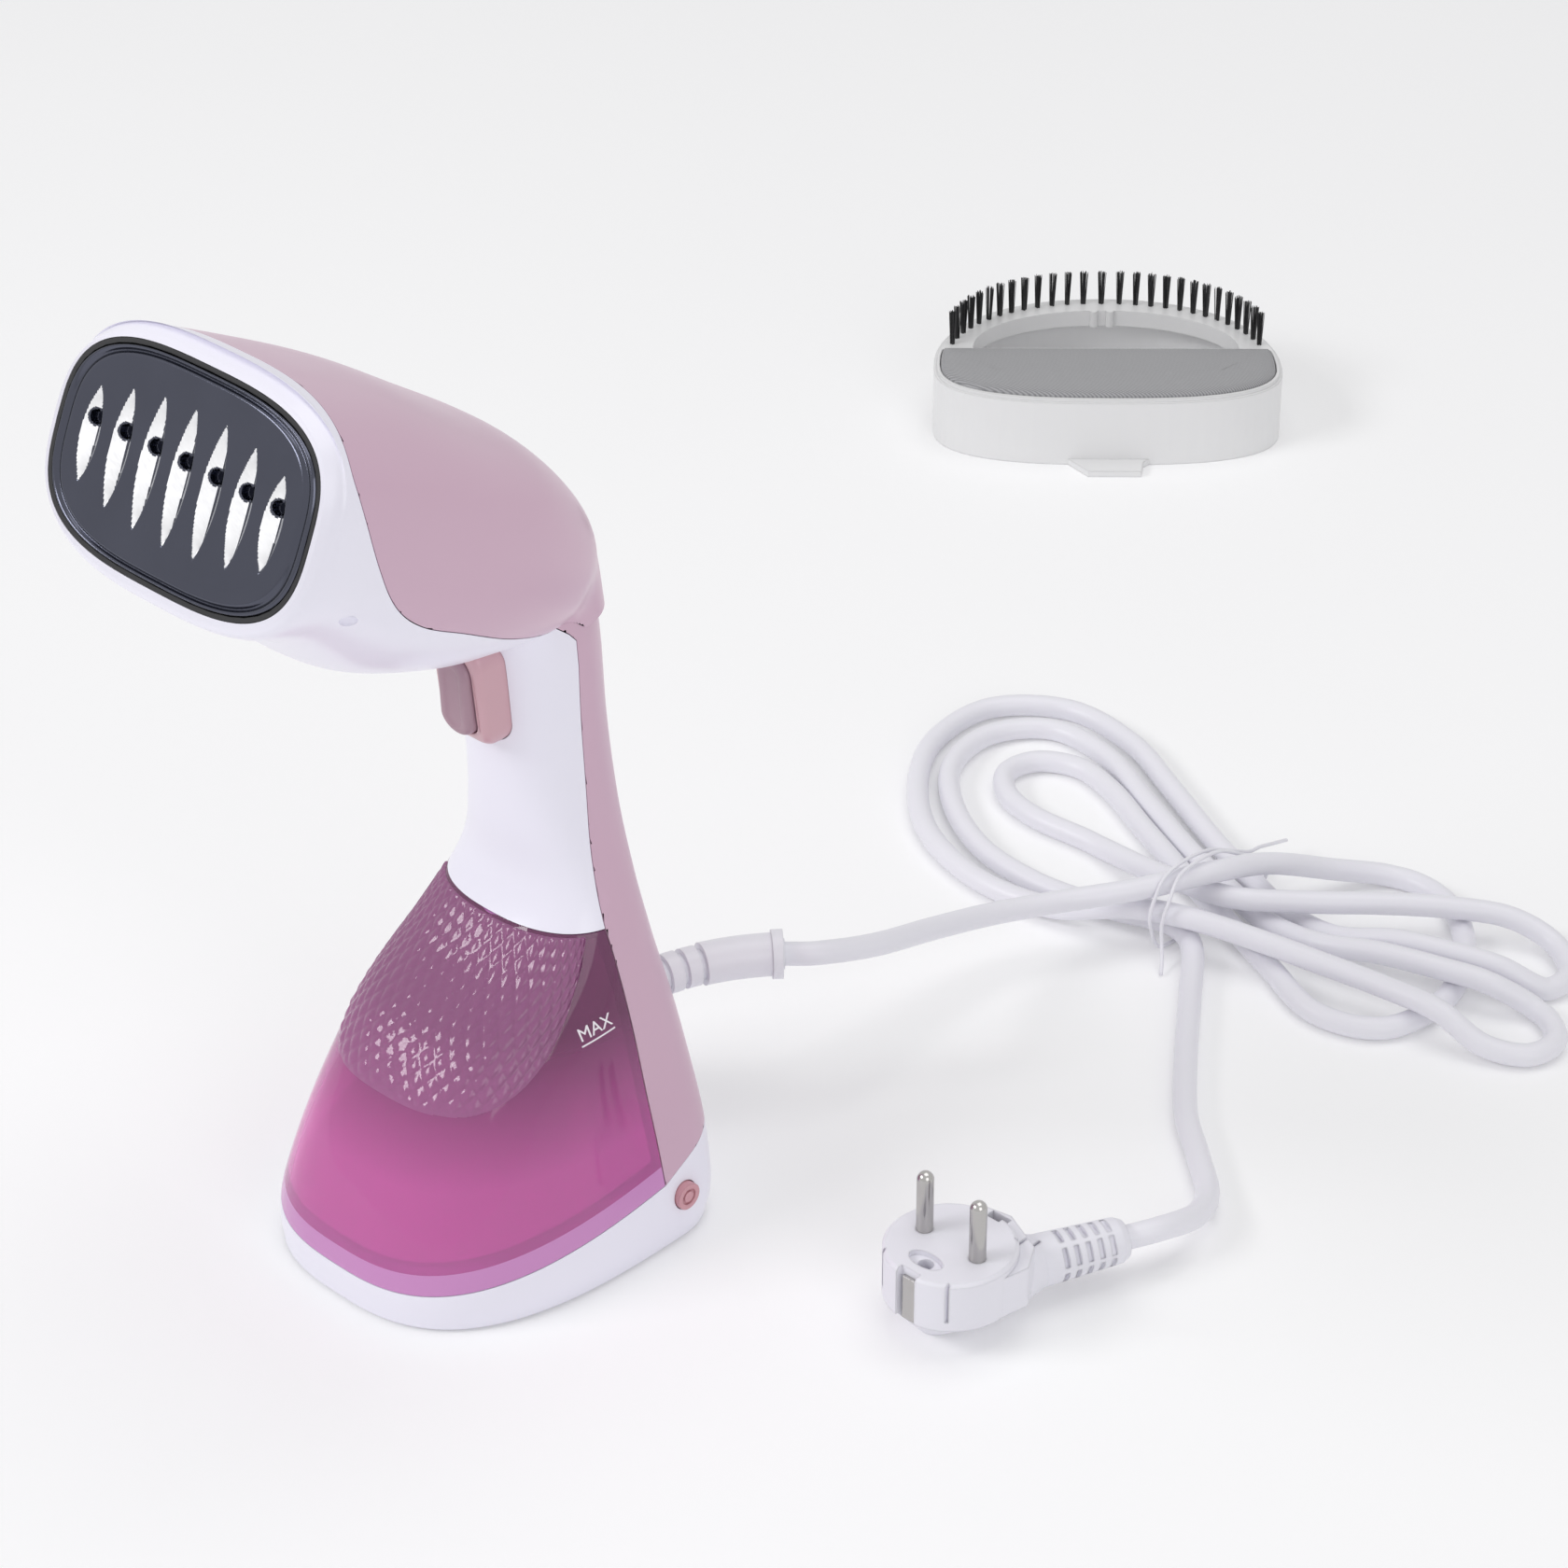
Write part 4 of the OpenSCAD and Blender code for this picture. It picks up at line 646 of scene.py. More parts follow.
LIE = CORD_D / 2            # centre of the lead where it lies on the floor
HOP = LIE + CORD_D + 0.5    # centre of the lead where it crosses a strand
ROUTE = [
    # off the boot, down to the bundle and over it at the tie
    [31, 108, 40], [28, 137, 30], [29, 163, 23], [37, 186, 20], [50, 205, 21], [61, 226, 22],
    [66, 248, 17],
    # first right loop, flat on the floor
    [74, 270, 8], [88, 286, LIE], [108, 285, LIE], [127, 268, LIE], [138, 243, LIE],
    [134, 219, LIE], [114, 211, LIE], [88, 221, LIE],
    # small left loop
    [57, 233, 5], [34, 244, LIE], [12, 254, LIE], [-7, 263, LIE], [-24, 267, LIE],
    [-37, 261, LIE], [-40, 249, LIE], [-31, 239, LIE], [-15, 235, LIE], [9, 236, LIE],
    [32, 231, 8],
    # second right loop, long and narrow, over the first
    [51, 227, 13], [68, 230, 14], [84, 244, 13], [101, 261, 12], [117, 275, HOP], [131, 285, 9],
    [145, 288, 5], [157, 280, LIE], [157, 268, LIE], [145, 260, 10], [131, 255, HOP],
    [115, 249, HOP], [96, 244, 6], [75, 247, LIE],
    # outer left loop
    [55, 253, 5], [30, 265, LIE], [4, 278, LIE], [-22, 290, LIE], [-50, 292, LIE], [-70, 275, LIE],
    [-70, 248, LIE], [-56, 224, LIE], [-34, 205, LIE], [-6, 196, LIE], [22, 198, 5],
    # third right loop, long and narrow, in front of the second
    [46, 206, 12], [64, 213, 13], [84, 219, 12], [107, 224, HOP], [128, 227, HOP], [146, 228, HOP],
    [161, 230, 5], [173, 237, LIE], [174, 249, LIE], [162, 257, LIE], [148, 251, 10],
    [133, 246, HOP], [115, 240, HOP], [96, 235, 8], [76, 237, 5],
    # inner left loop
    [56, 243, 5], [30, 254, LIE], [4, 266, LIE], [-22, 278, LIE], [-46, 279, LIE], [-59, 263, LIE],
    [-56, 241, LIE], [-40, 223, LIE], [-16, 210, LIE], [10, 207, LIE],
    # out of the tie and on to the plug
    [34, 211, 4], [54, 216, 5], [67, 211, 5], [82, 192, LIE], [100, 168, LIE], [118, 146, LIE],
    [134, 132, LIE], [147, 120, 4], [154, 106, 8]]
RELIEF_DIR = np.array([math.cos(PLUG_TURN), math.sin(PLUG_TURN), 0])
RELIEF_END = np.array([PLUG_X, PLUG_Y, RELIEF_Z]) + RELIEF_REACH * RELIEF_DIR
LEAD_DIR = np.array([math.sin(BOOT_TURN), math.cos(BOOT_TURN), 0])
lead_points = np.vstack([[on_boot(BOOT_TURN), on_boot(BOOT_TURN) + 10 * LEAD_DIR], ROUTE,
                         [RELIEF_END + 12 * RELIEF_DIR, RELIEF_END]])
lead_path = catmull(lead_points, 10)
lead_path[:, 2] = np.maximum(lead_path[:, 2], LIE)
lead = rings_object("mains_lead", sweep(lead_path, CORD_D / 2, 20))
finished(lead, "housing", "lead_white", VINYL, "mains_cord")

TIE_ROUTE = [
    # a loose end, standing up behind
    [52, 276, 6], [53, 268, 9], [54, 260, 12],
    # first turn: over the top, down the near side, along the floor
    [55, 253, 14], [56, 244, 19], [56, 232, 25], [56, 222, 27], [56, 211, 26], [56, 206, 20],
    [56, 204, 14], [56, 205, 9], [56, 208, 2], [57, 213, 0.7], [57, 233, 0.7], [57, 254, 0.7],
    # second turn, over the top to the near side
    [58, 258, 3], [58, 258, 8], [58, 252, 14], [59, 244, 19], [59, 234, 25], [59, 225, 27],
    [59, 214, 26], [60, 208, 20], [60, 205, 13],
    # the other loose end, down to the floor
    [61, 204, 7], [63, 202, 3], [66, 198, 1]]
tie = rings_object("wire_tie", sweep(catmull(TIE_ROUTE, 6), TIE_D / 2, 12, (1, 0, 0)))
finished(tie, "housing", "lead_white", VINYL, "twist_tie")

# ---- carried-over solids ---------------------------------

CARRIED = {
    "feet": RUBBER, "plate_gasket": RUBBER, "dock_seal": RUBBER, "pump_mounts": RUBBER,
    "base_plate": INNER, "switch_bracket": INNER, "cord_clamp": INNER, "dock_wall": INNER,
    "dock_connector": INNER, "tank_valve": INNER, "filler_plug": BAND, "suction_filter": TUBE,
    "suction_tube": TUBE, "suction_hose": HOSE, "pressure_hose": HOSE, "pump": DARK,
    "microswitch": DARK, "thermal_fuse": INNER, "control_board": BOARD, "wiring": WIRE,
    "base_screws": SPRING, "board_screws": SPRING, "chamber_screws": SPRING, "heating_tube": SPRING,
    "thermostat": SPRING, "steam_chamber": CAST, "button_left": BUTTON, "button_right": BUTTON,
    "cord_boot": VINYL, "plug_body": PLUG, "plug_pins": PIN, "earth_contacts": PIN,
    "brush_frame": BRUSH}
for name, material in CARRIED.items():
    mesh = nodes[name].data
    mesh.materials.clear()
    mesh.materials.append(material)

# ---- small solids ----------------------------------------


def ball(name, centre, radii, tilt):
    """An ellipsoid at a place in millimetres, tilted about X by degrees."""
    rings, count = 16, 32
    a, b = math.cos(math.radians(tilt)), math.sin(math.radians(tilt))
    k = np.linspace(0, 2 * math.pi, count, endpoint=False)
    out = []
    for i in range(1, rings):
        h = math.pi * i / rings
        p = np.column_stack([radii[0] * math.sin(h) * np.cos(k), radii[1] * math.sin(h) * np.sin(k),
                             np.full(count, -radii[2] * math.cos(h))])
        out.append(np.column_stack([p[:, 0], a * p[:, 1] - b * p[:, 2], b * p[:, 1] + a * p[:, 2]])
                   + np.array(centre))
    return rings_object(name, out)


def disc(name, d, place, low, high):
    """A round rod from low to high along w."""
    a = np.linspace(0, 2 * math.pi, 48, endpoint=False)
    return plate(name, np.column_stack([d / 2 * np.cos(a), d / 2 * np.sin(a)]), place, low, high)


def cut_shell(obj, name, forms, body, slot, material, node):
    """Names a cut form, gives it the smooth normals of its forms, and finishes it."""
    obj.name = name
    shade(obj, 35)
    shade_like(obj, forms)
    finished(obj, body, slot, material, node)


# ---- shells ----------------------------------------------

forms = [loft("form", PEDESTAL, 0, 8, SIDES), loft("form_head", head_rows(0), 0, 8, SIDES)]
for form in forms:
    shade(form, 60)
outer, inner = skin(0), skin(WALL, 4, 72)
hollow = boolean(outer, inner, "DIFFERENCE")
GROOVE = 0.13      # half the width of a seam's groove
FACE_W, FACE_H = PLATE_W + 2 * GASKET_W + 0.2, PLATE_H + 2 * GASKET_W + 0.2

above = prism("above", [(-FAR, TANK_TOP), (FAR, TANK_TOP), (FAR, ABOVE), (-FAR, ABOVE)])
front = boolean(copy_of(hollow), above, "INTERSECT")
front = boolean(front, cover_side(GROOVE), "DIFFERENCE")
front = boolean(front, plate("face", cushion(FACE_W, FACE_H, FACE_N, 120), at_face, -12, 20), "DIFFERENCE")
TRIGGER_W, TRIGGER_H, TRIGGER_OUT = 18, 33, 9
TRIGGER_R = TRIGGER_W / 2.6
TRIGGER_TOP = NECK_Z + HEAD_RISE * 0.06
TRIGGER_MID = TRIGGER_TOP - TRIGGER_H / 2
GRIP_FRONT = -(HANDLE_FRONT + (BASE_FRONT - HANDLE_FRONT) * 0.02)
DIMPLE_X, DIMPLE_Y, DIMPLE_Z = 46.6, -97, 242
DIMPLE_RADII, DIMPLE_TILT = (1.7, 1.7, 3.2), 58


def at_trigger(u, v, w):
    """u across the trigger, v up from its middle, w towards the back."""
    return (u, w, TRIGGER_MID + v)


trigger_hole = plate("hole", capsule(TRIGGER_W + 0.3, TRIGGER_H + 0.3, TRIGGER_R), at_trigger,
                     GRIP_FRONT - 20, GRIP_FRONT + 8)
front = boolean(front, trigger_hole, "DIFFERENCE")
for side in (-1, 1):
    dimple = ball("dimple", (side * DIMPLE_X, DIMPLE_Y, DIMPLE_Z), DIMPLE_RADII, DIMPLE_TILT)
    front = boolean(front, dimple, "DIFFERENCE")
cut_shell(front, "shell_front", forms, "housing", "white_shell", WHITE, "front_shell")

cover = boolean(hollow, cover_side(-GROOVE), "INTERSECT")
cover = boolean(cover, prism("cover_low", [*base_edge(GROOVE), (FAR, ABOVE), (-FAR, ABOVE)]), "INTERSECT")
boot_hole = plate("boot_hole", capsule(BOOT_D + 0.4, BOOT_D + 0.4, BOOT_D / 2 + 0.19, 12),
                  lambda u, v, w: (u, w, BOOT_Z + v), EXIT_Y - 10, EXIT_Y + 20)
cover = boolean(cover, boot_hole, "DIFFERENCE")
cut_shell(cover, "cover_back", forms, "housing", "pink_cover", PINK, "back_cover")

# ---- tank ------------------------------------------------

TANK_BACK, TANK_ROOF, TANK_FLOOR = SEAM_Y - GAP, TANK_TOP - GAP, GAP + BAND_H
FILLER_D, VALVE_D = 13, 10
FILLER_Y = (np.interp(TANK_ROOF, FINE_PEDESTAL[:, 1], FINE_PEDESTAL[:, 0]) + SEAM_Y) / 2
VALVE_Z = DECK_H + TANK_FLOOR + TANK_WALL + VALVE_D / 2 + 3


def tank_side(inset, lift):
    """The tank's side view, between the deck and the roof."""
    back, roof = TANK_BACK - inset, TANK_ROOF - inset
    return prism("tank_side", [*deck_line(back, lift), (back, roof), (-FAR, roof)])


def at_filler(u, v, w):
    """u across, v to the back and w up from the filler's middle."""
    return (u, FILLER_Y + v, w)


def pedestal(inset):
    """The pedestal's outer form, shrunk by inset."""
    return loft("pedestal", PEDESTAL, inset, 8, SIDES)


tank = boolean(pedestal(0), tank_side(0, TANK_FLOOR), "INTERSECT")
inside = boolean(pedestal(TANK_WALL), tank_side(TANK_WALL, TANK_FLOOR + TANK_WALL), "INTERSECT")
tank = boolean(tank, inside, "DIFFERENCE")
tank_holes = [disc("filler", FILLER_D, at_filler, TANK_TOP - 10, TANK_TOP + 5),
              disc("filler_seat", FILLER_D + 3, at_filler, TANK_ROOF - 1, TANK_TOP + 5),
              disc("valve_hole", VALVE_D + 0.2, lambda u, v, w: (u, w, VALVE_Z + v),
                   TANK_BACK - 2 * TANK_WALL, TANK_BACK + 5)]
for hole in tank_holes:
    tank = boolean(tank, hole, "DIFFERENCE")
cut_shell(tank, "tank_shell", forms[:1], "tank", "clear_tank", TANK, "water_tank")

band = boolean(pedestal(0), prism("band_side", deck_line(TANK_BACK, GAP, TANK_FLOOR)), "INTERSECT")
BAND_BASE, WELL_TOP = GAP + 2, 200
well_back = TANK_BACK - 3 * TANK_WALL
well_side = prism("well", [(-FAR, deck_at(-FAR) + BAND_BASE), (well_back, DECK_H + BAND_BASE),
                           (well_back, WELL_TOP), (-FAR, WELL_TOP)])
well = boolean(pedestal(3 * TANK_WALL), well_side, "INTERSECT")
band = boolean(band, well, "DIFFERENCE")
band.name = "band"
shade(band, 35)
finished(band, "tank", "pale_band", BAND, "tank_band")

# ---- trigger and springs ---------------------------------

FRAME_FRONT, FRAME_BACK = GRIP_FRONT - TRIGGER_OUT, GRIP_FRONT + 2.6
PAD_W, PAD_H, PAD_BACK = TRIGGER_W - 6.4, TRIGGER_H - 9, FRAME_BACK + GAP
PAD_CURVE, PAD_PROUD, PAD_TOP = 70, 1.6, 3      # the pad's arc, how far it stands out, and where most
FRAME_SIDE = catmull([(-0.5 * TRIGGER_H, GRIP_FRONT - 1), (-0.4 * TRIGGER_H, FRAME_FRONT + 0.4 * TRIGGER_OUT),
                      (-0.15 * TRIGGER_H, FRAME_FRONT + 1), (0.2 * TRIGGER_H, FRAME_FRONT),
                      (0.5 * TRIGGER_H, FRAME_FRONT + 0.6)], 8)


def frame_y(v):
    """The frame's front in the side view."""
    return np.interp(v, FRAME_SIDE[:, 0], FRAME_SIDE[:, 1])


def pad_y(v):
    """The pad's front in the side view."""
    return FRAME_FRONT - PAD_PROUD + PAD_CURVE - math.sqrt(PAD_CURVE ** 2 - (v - PAD_TOP) ** 2)


def trigger_ring(size, inset, depth):
    """A ring of a width, height and corner radius. depth gives y from the height above the middle."""
    w, h, r = size
    return [at_trigger(u, v, depth(v)) for u, v in capsule(w - 2 * inset, h - 2 * inset, r - inset)]


def rounded(radius, steps=7):
    """Inset and depth of each ring round a rounded edge."""
    t = np.linspace(0, math.pi / 2, steps)
    return zip(radius * (1 - np.cos(t)), radius * (1 - np.sin(t)))


FRAME_SIZE = (TRIGGER_W, TRIGGER_H, TRIGGER_R)
WINDOW_SIZE = (PAD_W + 2 * GAP, PAD_H + 2 * GAP, PAD_W / 2 + GAP)
PAD_SIZE = (PAD_W, PAD_H, PAD_W / 2)

rings = [trigger_ring(FRAME_SIZE, 0, lambda v: FRAME_BACK)]
for inset, drop in rounded(2.2):
    rings.append(trigger_ring(FRAME_SIZE, inset, lambda v: min(frame_y(v) + drop, FRAME_BACK - 0.2)))
for inset, drop in list(rounded(0.7, 5))[::-1]:
    rings.append(trigger_ring(WINDOW_SIZE, -inset, lambda v: frame_y(v) + drop))
rings.append(trigger_ring(WINDOW_SIZE, 0, lambda v: FRAME_BACK))
frame_round = rings_object("frame_round", rings, 40, closed=True)
finished(frame_round, "housing", "trigger_frame", FRAME, "trigger_frame")

DISHED = ((2.5, 0), (2.9, 0.15), (3.3, 0.4), (3.8, 0.5), (4.6, 0.55), (5.3, 0.55))
rings = [trigger_ring(PAD_SIZE, 0, lambda v: PAD_BACK + 0.1)]
for inset, drop in [*rounded(1.8), *DISHED]:
    rings.append(trigger_ring(PAD_SIZE, inset, lambda v: pad_y(v) + drop))
press = rings_object("press_pad", rings, 40)
flange = plate("flange", capsule(PAD_W + 2, PAD_H + 3, PAD_W / 2), at_trigger, PAD_BACK, PAD_BACK + 1.4)
press = boolean(press, flange, "UNION")
stem = disc("stem", 3.4, lambda u, v, w: (u, w, TRIGGER_MID - 4 + v), PAD_BACK, PAD_BACK + 5)
press = boolean(press, stem, "UNION")
shade(press, 40)
finished(press, "trigger", "trigger_pad", MAUVE, "trigger")

# Each spring is listed with an axis (0 is X), the low or high end where it rests on its seat (0 or 1), its
# joint and a travel in metres. Its coil is a copy of the spring's mesh on an object of its own. The coil does
# not shorten, and the joint and travel are not used.
for node, joint, k, end, travel in (("trigger_spring", "trigger_press", 1, 1, 0.0025),
                                    ("button_spring_right", "button_right_press", 0, 0, 0.002),
                                    ("button_spring_left", "button_left_press", 0, 1, 0.002)):
    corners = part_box(node)
    anchor, axis = [0, 0, 0], [0, 0, 0]
    anchor[k], axis[k] = corners[end][k], 1
    coil = linked(node.replace("spring", "coil"), nodes[node].data.copy())
    finished(coil, "housing", "tube_steel", SPRING, node)
    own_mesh(coil)

# ---- quilted patch and level mark ------------------------

BORDER_LOW, BORDER_RISE = 58.5, 38        # the lower border's height in front, and its rise
BORDER_FRONT, BORDER_RUN = -53, 50.7      # where the rise starts, and how long it is
PATCH_TOP = TANK_ROOF - 0.6
DIAMOND_W, DIAMOND_H = 4.6, 5.6
STITCH, PILLOW, SUNK = 0.06, 0.65, 0.25   # seams and pillows stand out, and the back is sunk in


def border_z(y):
    """Height of the patch's lower border at a place along the tank."""
    return BORDER_LOW + BORDER_RISE * np.clip((y - BORDER_FRONT) / BORDER_RUN, 0, 1) ** 1.9


def wall_point(a, z, inset):
    """A place at an inset from the tank's outer form, at an angle round its section and a height."""
    row = pedestal_at(z)
    depth = row[2] - row[0] - 2 * inset
    widest = row[0] + inset + depth * row[5]
    side, q = power(math.cos(a), row[6]), power(math.sin(a), row[6])
    return np.array([(row[4] - inset) * side, widest + depth * q * (row[5] if q < 0 else 1 - row[5]), z])


def patch_surface(angles, shares, insets):
    """Points between the border and the roof, one row for each angle of the tank's section."""
    heights = np.linspace(BORDER_LOW, PATCH_TOP, 160)
    out = np.zeros((len(angles), len(shares), 3))
    for i, a in enumerate(angles):
        low = next((z for z in heights if z >= border_z(wall_point(a, z, 0)[1])), heights[-1])
        for j, t in enumerate(shares):
            out[i, j] = wall_point(a, low + t * (heights[-1] - low), insets[i, j])
    return out


def quilted_patch():
    """A thin sheet of diamond pillows over the front of the tank's upper part."""
    across, up = 200, 90
    covered = [a for a in np.radians(np.arange(180, 360.5, 0.5))
               if border_z(wall_point(a, PATCH_TOP, 0)[1]) < PATCH_TOP - 1.5]
    angles, shares = np.linspace(covered[0], covered[-1], across), np.linspace(0, 1, up)
    flat = patch_surface(angles, shares, np.zeros((across, up)))
    around = np.cumsum(np.r_[0, np.linalg.norm(np.diff(flat[:, up // 2], axis=0), axis=1)])[:, None]
    u, w = around / DIAMOND_W, flat[:, :, 2] / DIAMOND_H
    pillow = np.abs(np.sin(math.pi * (u + w)) * np.sin(math.pi * (u - w))) ** 0.6
    fade = np.clip(shares / 0.05, 0, 1)[None, :]
    near = patch_surface(angles, shares, -STITCH - PILLOW * pillow * fade)
    far = patch_surface(angles, shares, np.full((across, up), SUNK))
    return slab("quilted_patch", near.swapaxes(0, 1), far.swapaxes(0, 1), 60)


finished(quilted_patch(), "tank", "clear_tank", QUILT)

MARK_Y, MARK_Z, LETTER_H = -9.6, 72.4, 5.2
LINE_W, LINE_H, LINE_DROP = 11.5, 0.4, 1.3


def side_x(y, z):
    """Half width of the outer form at a place in the side view."""
    row = pedestal_at(z)
    widest = row[0] + (row[2] - row[0]) * row[5]
    q = (y - widest) / ((row[2] - row[0]) * (row[5] if y < widest else 1 - row[5]))
    return row[4] * max(0, 1 - abs(q) ** row[6]) ** (1 / row[6])


def level_mark():
    """The fill line and its word, a thin print on the tank's side."""
    curve = bpy.data.curves.new("level", "FONT")
    curve.body, curve.size, curve.extrude = "MAX", LETTER_H, 0.5
    curve.align_x = "CENTER"
    curve.resolution_u = 6
    text = linked("level_text", curve)
    mesh = final_mesh(text)
    bpy.data.objects.remove(text)
    bm = bmesh.new()
    bm.from_mesh(mesh)
    line = Matrix.Translation((0, -LINE_DROP, 0)) @ Matrix.Diagonal((LINE_W, LINE_H, 1, 1))
    bmesh.ops.create_cube(bm, size=1, matrix=line)
    bmesh.ops.subdivide_edges(bm, edges=[e for e in bm.edges if e.calc_length() > 1.5], cuts=6)
    bmesh.ops.triangulate(bm, faces=bm.faces)
    for v in bm.verts:
        s, t = v.co.x, v.co.y      # the print is turned and sheared a little
        y, z = MARK_Y + 0.99 * s - 0.1 * t, MARK_Z + 0.11 * s + 0.95 * t
        v.co = Vector((side_x(y, z) + (0.1 if v.co.z > 0 else -0.15), y, z)) * MM
    bm.to_mesh(mesh)
    bm.free()
    return linked("level_mark", mesh)


finished(level_mark(), "tank", "white_shell", MARK)

# ---- base ------------------------------------------------

BUTTON_D, BUTTON_Y, BUTTON_Z = 8, 8.5, 15.5
low_edge = [(-FAR, FOOT_H), *base_edge(0), (FAR, FOOT_H)]
base = boolean(pedestal(0), prism("base_side", low_edge), "INTERSECT")
room_side = prism("room", [(-FAR, -5), (-FAR, deck_at(-FAR) - WALL), (SEAM_Y, DECK_H - WALL), (SEAM_Y, FAR),
                           (FAR, FAR), (FAR, -5)])
base = boolean(base, boolean(pedestal(WALL), room_side, "INTERSECT"), "DIFFERENCE")
for ends in ((-60, -36), (36, 60)):
    button_hole = disc("button_hole", BUTTON_D + 2 * GAP,
                       lambda u, v, w: (w, BUTTON_Y + u, BUTTON_Z + v), *ends)
    base = boolean(base, button_hole, "DIFFERENCE")
cut_shell(base, "base_shell", forms[:1], "housing", "white_shell", WHITE, "base_housing")
for form in forms:
    bpy.data.objects.remove(form)

# ---- steam plate -----------------------------------------

CHANNELS, HOLE_D = 7, 3.4
CHANNEL_PITCH = PLATE_W * 0.74 / (CHANNELS - 1)
CHANNEL_W = CHANNEL_PITCH * 0.62
HOLE_V = PLATE_H * 0.08
FACE_OUT, CHANNEL_DEPTH, HOLE_DEPTH = 0.6, 1.5, 2.2


def steam_plate():
    """A height field over the plate's outline, with lens-shaped channels and a hole in each. The channels'
    left flanks get a near-white copy of the steel, a painted highlight.
    """
    cols, rows = 420, 260
    v = PLATE_H / 2 * np.sin(np.linspace(-0.4985, 0.4985, rows) * math.pi)[:, None]
    reach = PLATE_W / 2 * (1 - np.abs(2 * v / PLATE_H) ** FACE_N) ** (1 / FACE_N)
    u = np.linspace(-1, 1, cols)[None, :] * reach
    v = np.broadcast_to(v, u.shape)
    edge = 1 - (np.abs(2 * u / PLATE_W) ** FACE_N + np.abs(2 * v / PLATE_H) ** FACE_N) ** (1 / FACE_N)
    groove = 0.9 * np.exp(-((edge - 0.055) / 0.018) ** 2)
    height = FACE_OUT - groove - 1.2 * np.clip(1 - edge / 0.02, 0, 1) ** 2
    # The faces marked here, the left flank of each channel, get the near-white steel: a painted highlight.
    painted_highlight = np.zeros_like(height, bool)
    for i in range(CHANNELS):
        s = 2 * i / (CHANNELS - 1) - 1
        tall = PLATE_H * (0.66 - 0.2 * s * s)
        cx = s * (CHANNELS - 1) / 2 * CHANNEL_PITCH
        half_w = CHANNEL_W / 2 * np.clip(1 - (2 * v / tall) ** 2, 0, 1)
        t = (u - cx) / np.maximum(half_w, 0.01)
        inside = (np.abs(t) < 1) & (half_w > 0.05)
        slope = np.where(t < 0.35, (1 + t) / 1.35, (1 - t) / 0.65)
        height -= np.where(inside, CHANNEL_DEPTH * slope * np.minimum(1, half_w / 1.4), 0)
        from_hole = np.hypot(u - cx, v - HOLE_V) - HOLE_D / 2
        height = np.where(from_hole < 0, -HOLE_DEPTH, height)
        lip = np.abs(from_hole - 0.25) < 0.3
        painted_highlight = (painted_highlight | inside & (t < 0.3)) & ~(from_hole < 0) & ~lip
    front = np.stack(at_face(u, v, height), -1)
    back = np.stack(at_face(u, v, np.full_like(height, -PLATE_T)), -1)
    obj = slab("polished_plate", front, back, 50)
    finished(obj, "housing", "steel_plate", PAINTED_DARK_STEEL, "steam_plate")
    # The second material is the near-white steel, the painted highlight on the left flanks.
    obj.data.materials.append(PAINTED_HIGHLIGHT_STEEL)
    for k in np.flatnonzero(painted_highlight[:-1, :-1] & painted_highlight[1:, 1:]):
        obj.data.polygons[int(k)].material_index = 1


steam_plate()

# ---- brush -----------------------------------------------

BRUSH_W, BRUSH_D, BRUSH_H, BRISTLE_L = 126, 82, 26, 13
TUFTS, BRISTLES, TUFT_R, TUFT_SPREAD = 27, 38, 0.85, 1.55
BRUSH_X, BRUSH_Y, BRUSH_TURN = -172, 455, math.radians(43)
CLIP_Y, ARCH_Y, PAD_EDGE = -BRUSH_D * 0.34, BRUSH_D * 0.66, BRUSH_D * 0.145
PAD_ROUND = ((2.5, 22), (2.5, 25.2), (2.7, 26.4), (3.4, 27.2), (5, 27.7), (9, 28.1), (16, 28.35), (22, 28.4))


def at_brush(x, y, z):
    """A place on the brush, turned and moved to where it lies."""
    c, s = math.cos(BRUSH_TURN), math.sin(BRUSH_TURN)
    return np.array([BRUSH_X + c * x - s * y, BRUSH_Y + s * x + c * y, z])


def brush_point(a, inset):
    """x and y on the brush's outline, or inside it, at an angle."""
    n = 2.15 if math.sin(a) >= 0 else 2.7
    q = power(math.sin(a), n)
    return (BRUSH_W / 2 - inset) * power(math.cos(a), n), q * (-CLIP_Y - inset if q < 0 else ARCH_Y - inset)


def tufts():
    """Each tuft is a bundle of fine bristles that fan out towards their tips."""
    verts, faces = [], []
    for i in range(TUFTS):
        x, y = brush_point(math.radians(18 + 144 * i / (TUFTS - 1)), 4.4)
        for _ in range(BRISTLES):
            a, r = rng.uniform(0, 2 * math.pi), math.sqrt(rng.random())
            lean = TUFT_SPREAD + rng.uniform(-0.12, 0.12)
            foot = (x + TUFT_R * r * math.cos(a), y + TUFT_R * r * math.sin(a))
            tip = (x + lean * r * math.cos(a), y + lean * r * math.sin(a))
            long = BRISTLE_L - rng.uniform(0, 0.5)
            first = len(verts)
            for (cx, cy), z, rad in ((foot, BRUSH_H - 0.5, 0.15), (tip, BRUSH_H + long, 0.1)):
                for k in range(5):
                    b = 2 * math.pi * k / 5
                    verts.append(at_brush(cx + rad * math.cos(b), cy + rad * math.sin(b), z) * MM)
            faces += [(first + k, first + (k + 1) % 5, first + 5 + (k + 1) % 5, first + 5 + k)
                      for k in range(5)]
            faces += [tuple(range(first + 4, first - 1, -1)), tuple(range(first + 5, first + 10))]
    return new_object("bristle_tufts", verts, faces, 50)


finished(tufts(), "housing", "bristle", BRISTLE, "brush_bristles")


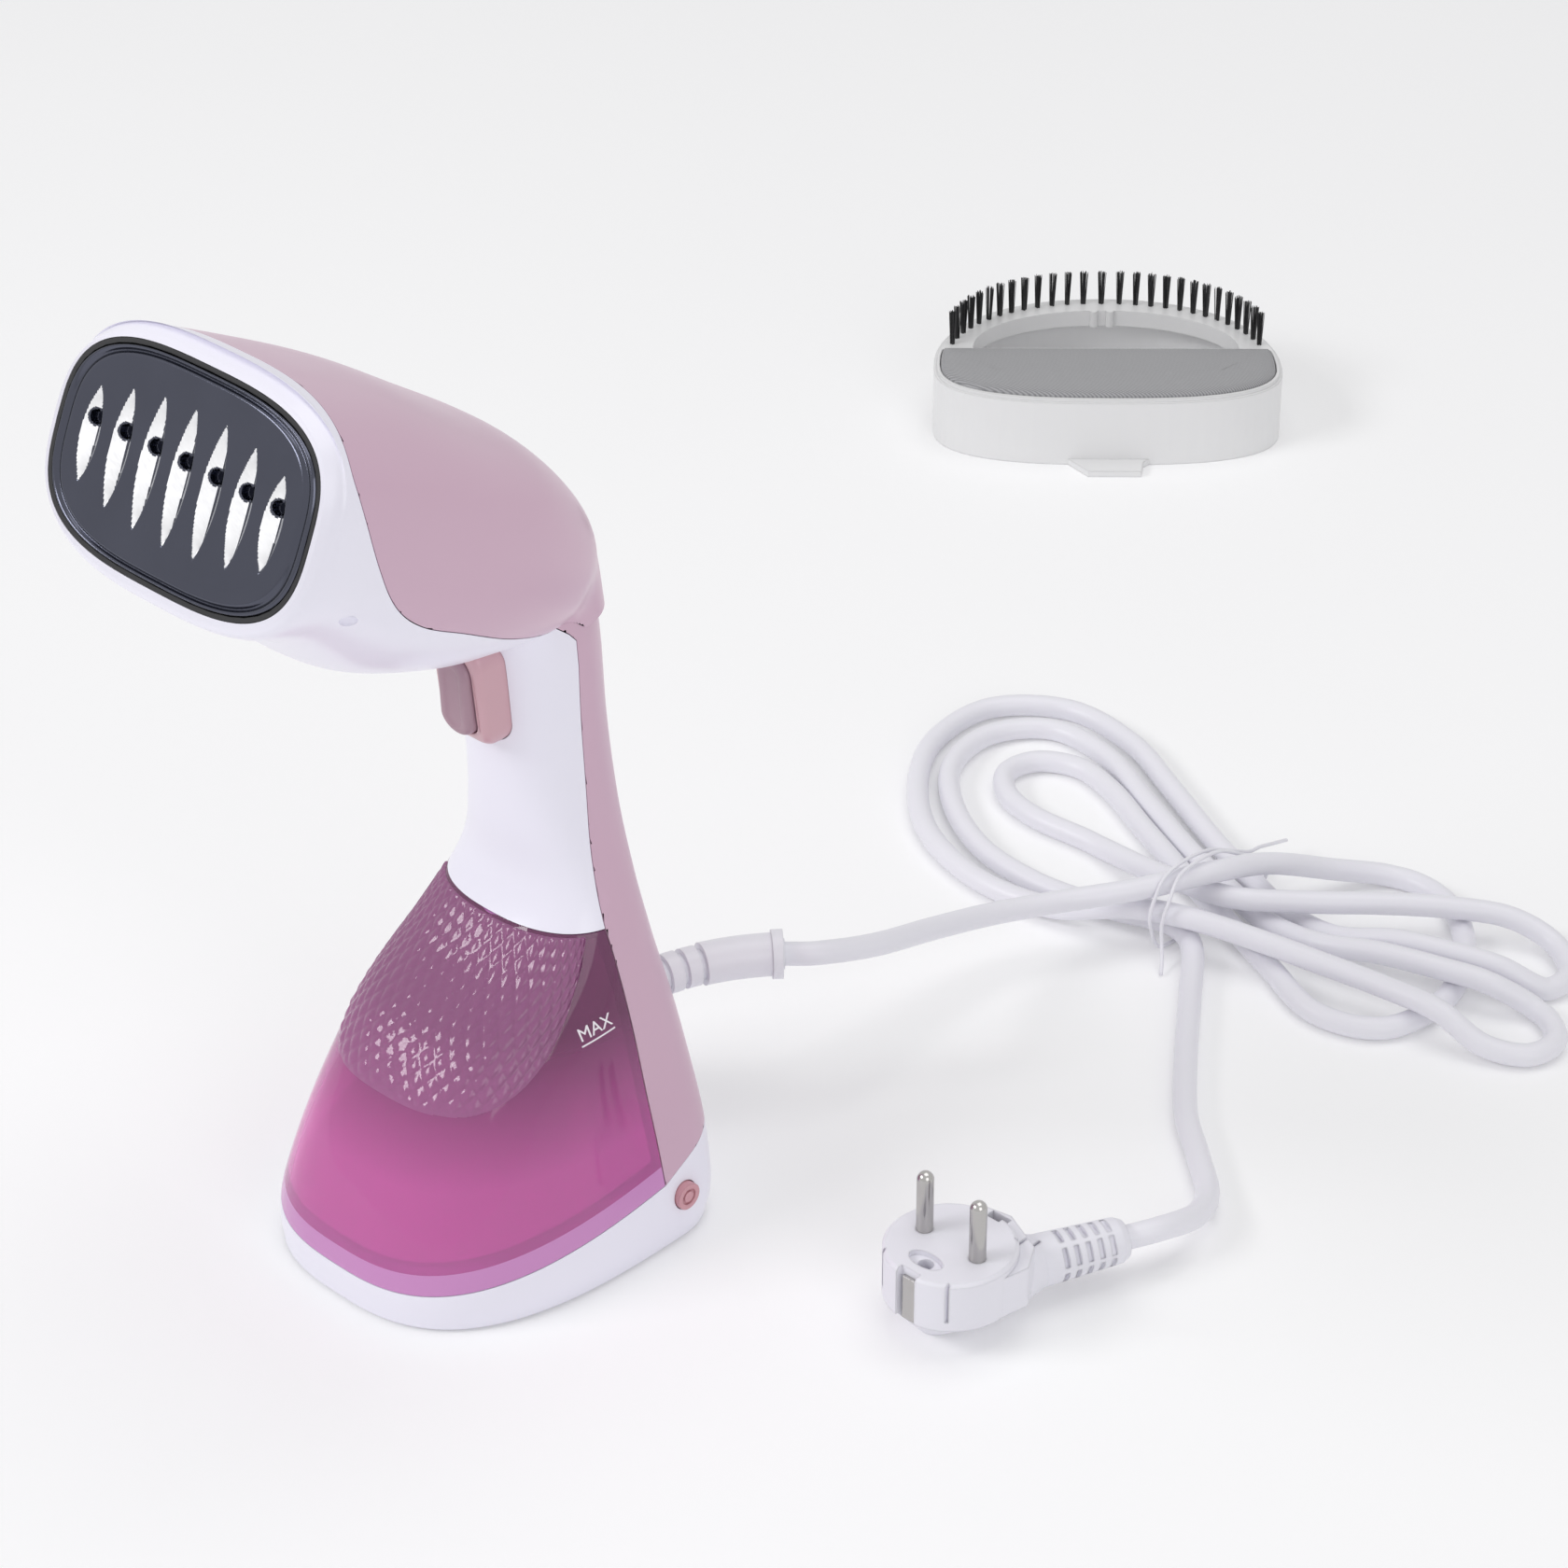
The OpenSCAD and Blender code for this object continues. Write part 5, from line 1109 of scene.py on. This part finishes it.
def pad():
    """The cloth pad, crowned over its foam, with a straight edge along the window."""
    rings = []
    for inset, z in PAD_ROUND:
        ring = []
        for k in range(160):
            x, y = brush_point(2 * math.pi * k / 160, inset)
            ring.append((x, min(y, PAD_EDGE - (inset - 2.2))))
        rings.append([at_brush(x, y, z) for x, y in ring])
    return rings_object("twill_pad", rings, 50)


cloth_pad = pad()
finished(cloth_pad, "housing", "pad_cloth", TWILL, "brush_pad")

# ---- stage -----------------------------------------------

floor = new_object("floor", [(-4, -4, 0), (4, -4, 0), (4, 4, 0), (-4, 4, 0)], [(0, 1, 2, 3)])
look = Nodes("floor")
pale = look.blend(look.noise(3, 2), (0.86, 0.86, 0.87, 1), (0.88, 0.88, 0.89, 1))
look.feed(Base_Color=pale)
look.set(Roughness=0.9, Emission_Color=(1, 1, 1, 1), Emission_Strength=0.12)
floor.data.materials.append(look.material)

world = bpy.data.worlds.new("world")
bpy.context.scene.world = world
world.use_nodes = True
tree = world.node_tree
background = tree.nodes["Background"]
background.inputs["Color"].default_value = (1, 1, 1, 1)
path = tree.nodes.new("ShaderNodeLightPath")
strength = tree.nodes.new("ShaderNodeMapRange")
strength.inputs["To Min"].default_value = 0.5
strength.inputs["To Max"].default_value = 1.0


def calculated(operation, first, second):
    """A math node's result from a socket and another socket or number."""
    node = tree.nodes.new("ShaderNodeMath")
    node.operation = operation
    tree.links.new(first, node.inputs[0])
    if isinstance(second, float):
        node.inputs[1].default_value = second
    else:
        tree.links.new(second, node.inputs[1])
    return node.outputs["Value"]


through = calculated("MAXIMUM", path.outputs["Is Glossy Ray"], path.outputs["Is Transmission Ray"])
seen = calculated("MAXIMUM", path.outputs["Is Camera Ray"], calculated("MULTIPLY", through, 0.7))
tree.links.new(seen, strength.inputs["Value"])
tree.links.new(strength.outputs["Result"], background.inputs["Strength"])


def softbox(name, place, aim_at, size, power_w):
    """A rectangular lamp of a size in metres, turned to a place."""
    data = bpy.data.lights.new(name, "AREA")
    data.shape = "RECTANGLE"
    data.size, data.size_y = size
    data.energy = power_w
    lamp = linked(name, data)
    lamp.location = place
    lamp.rotation_euler = (Vector(aim_at) - Vector(place)).to_track_quat("-Z", "Y").to_euler()


softbox("key", (-0.9, -1.5, 1.45), (0, 0, 0.15), (1.0, 0.6), 16)
softbox("fill", (1.8, -0.6, 1.1), (0, 0.1, 0.12), (1.2, 1.2), 7)
softbox("top", (0.1, 0.5, 2.2), (0, 0.1, 0.0), (1.6, 1.6), 11)
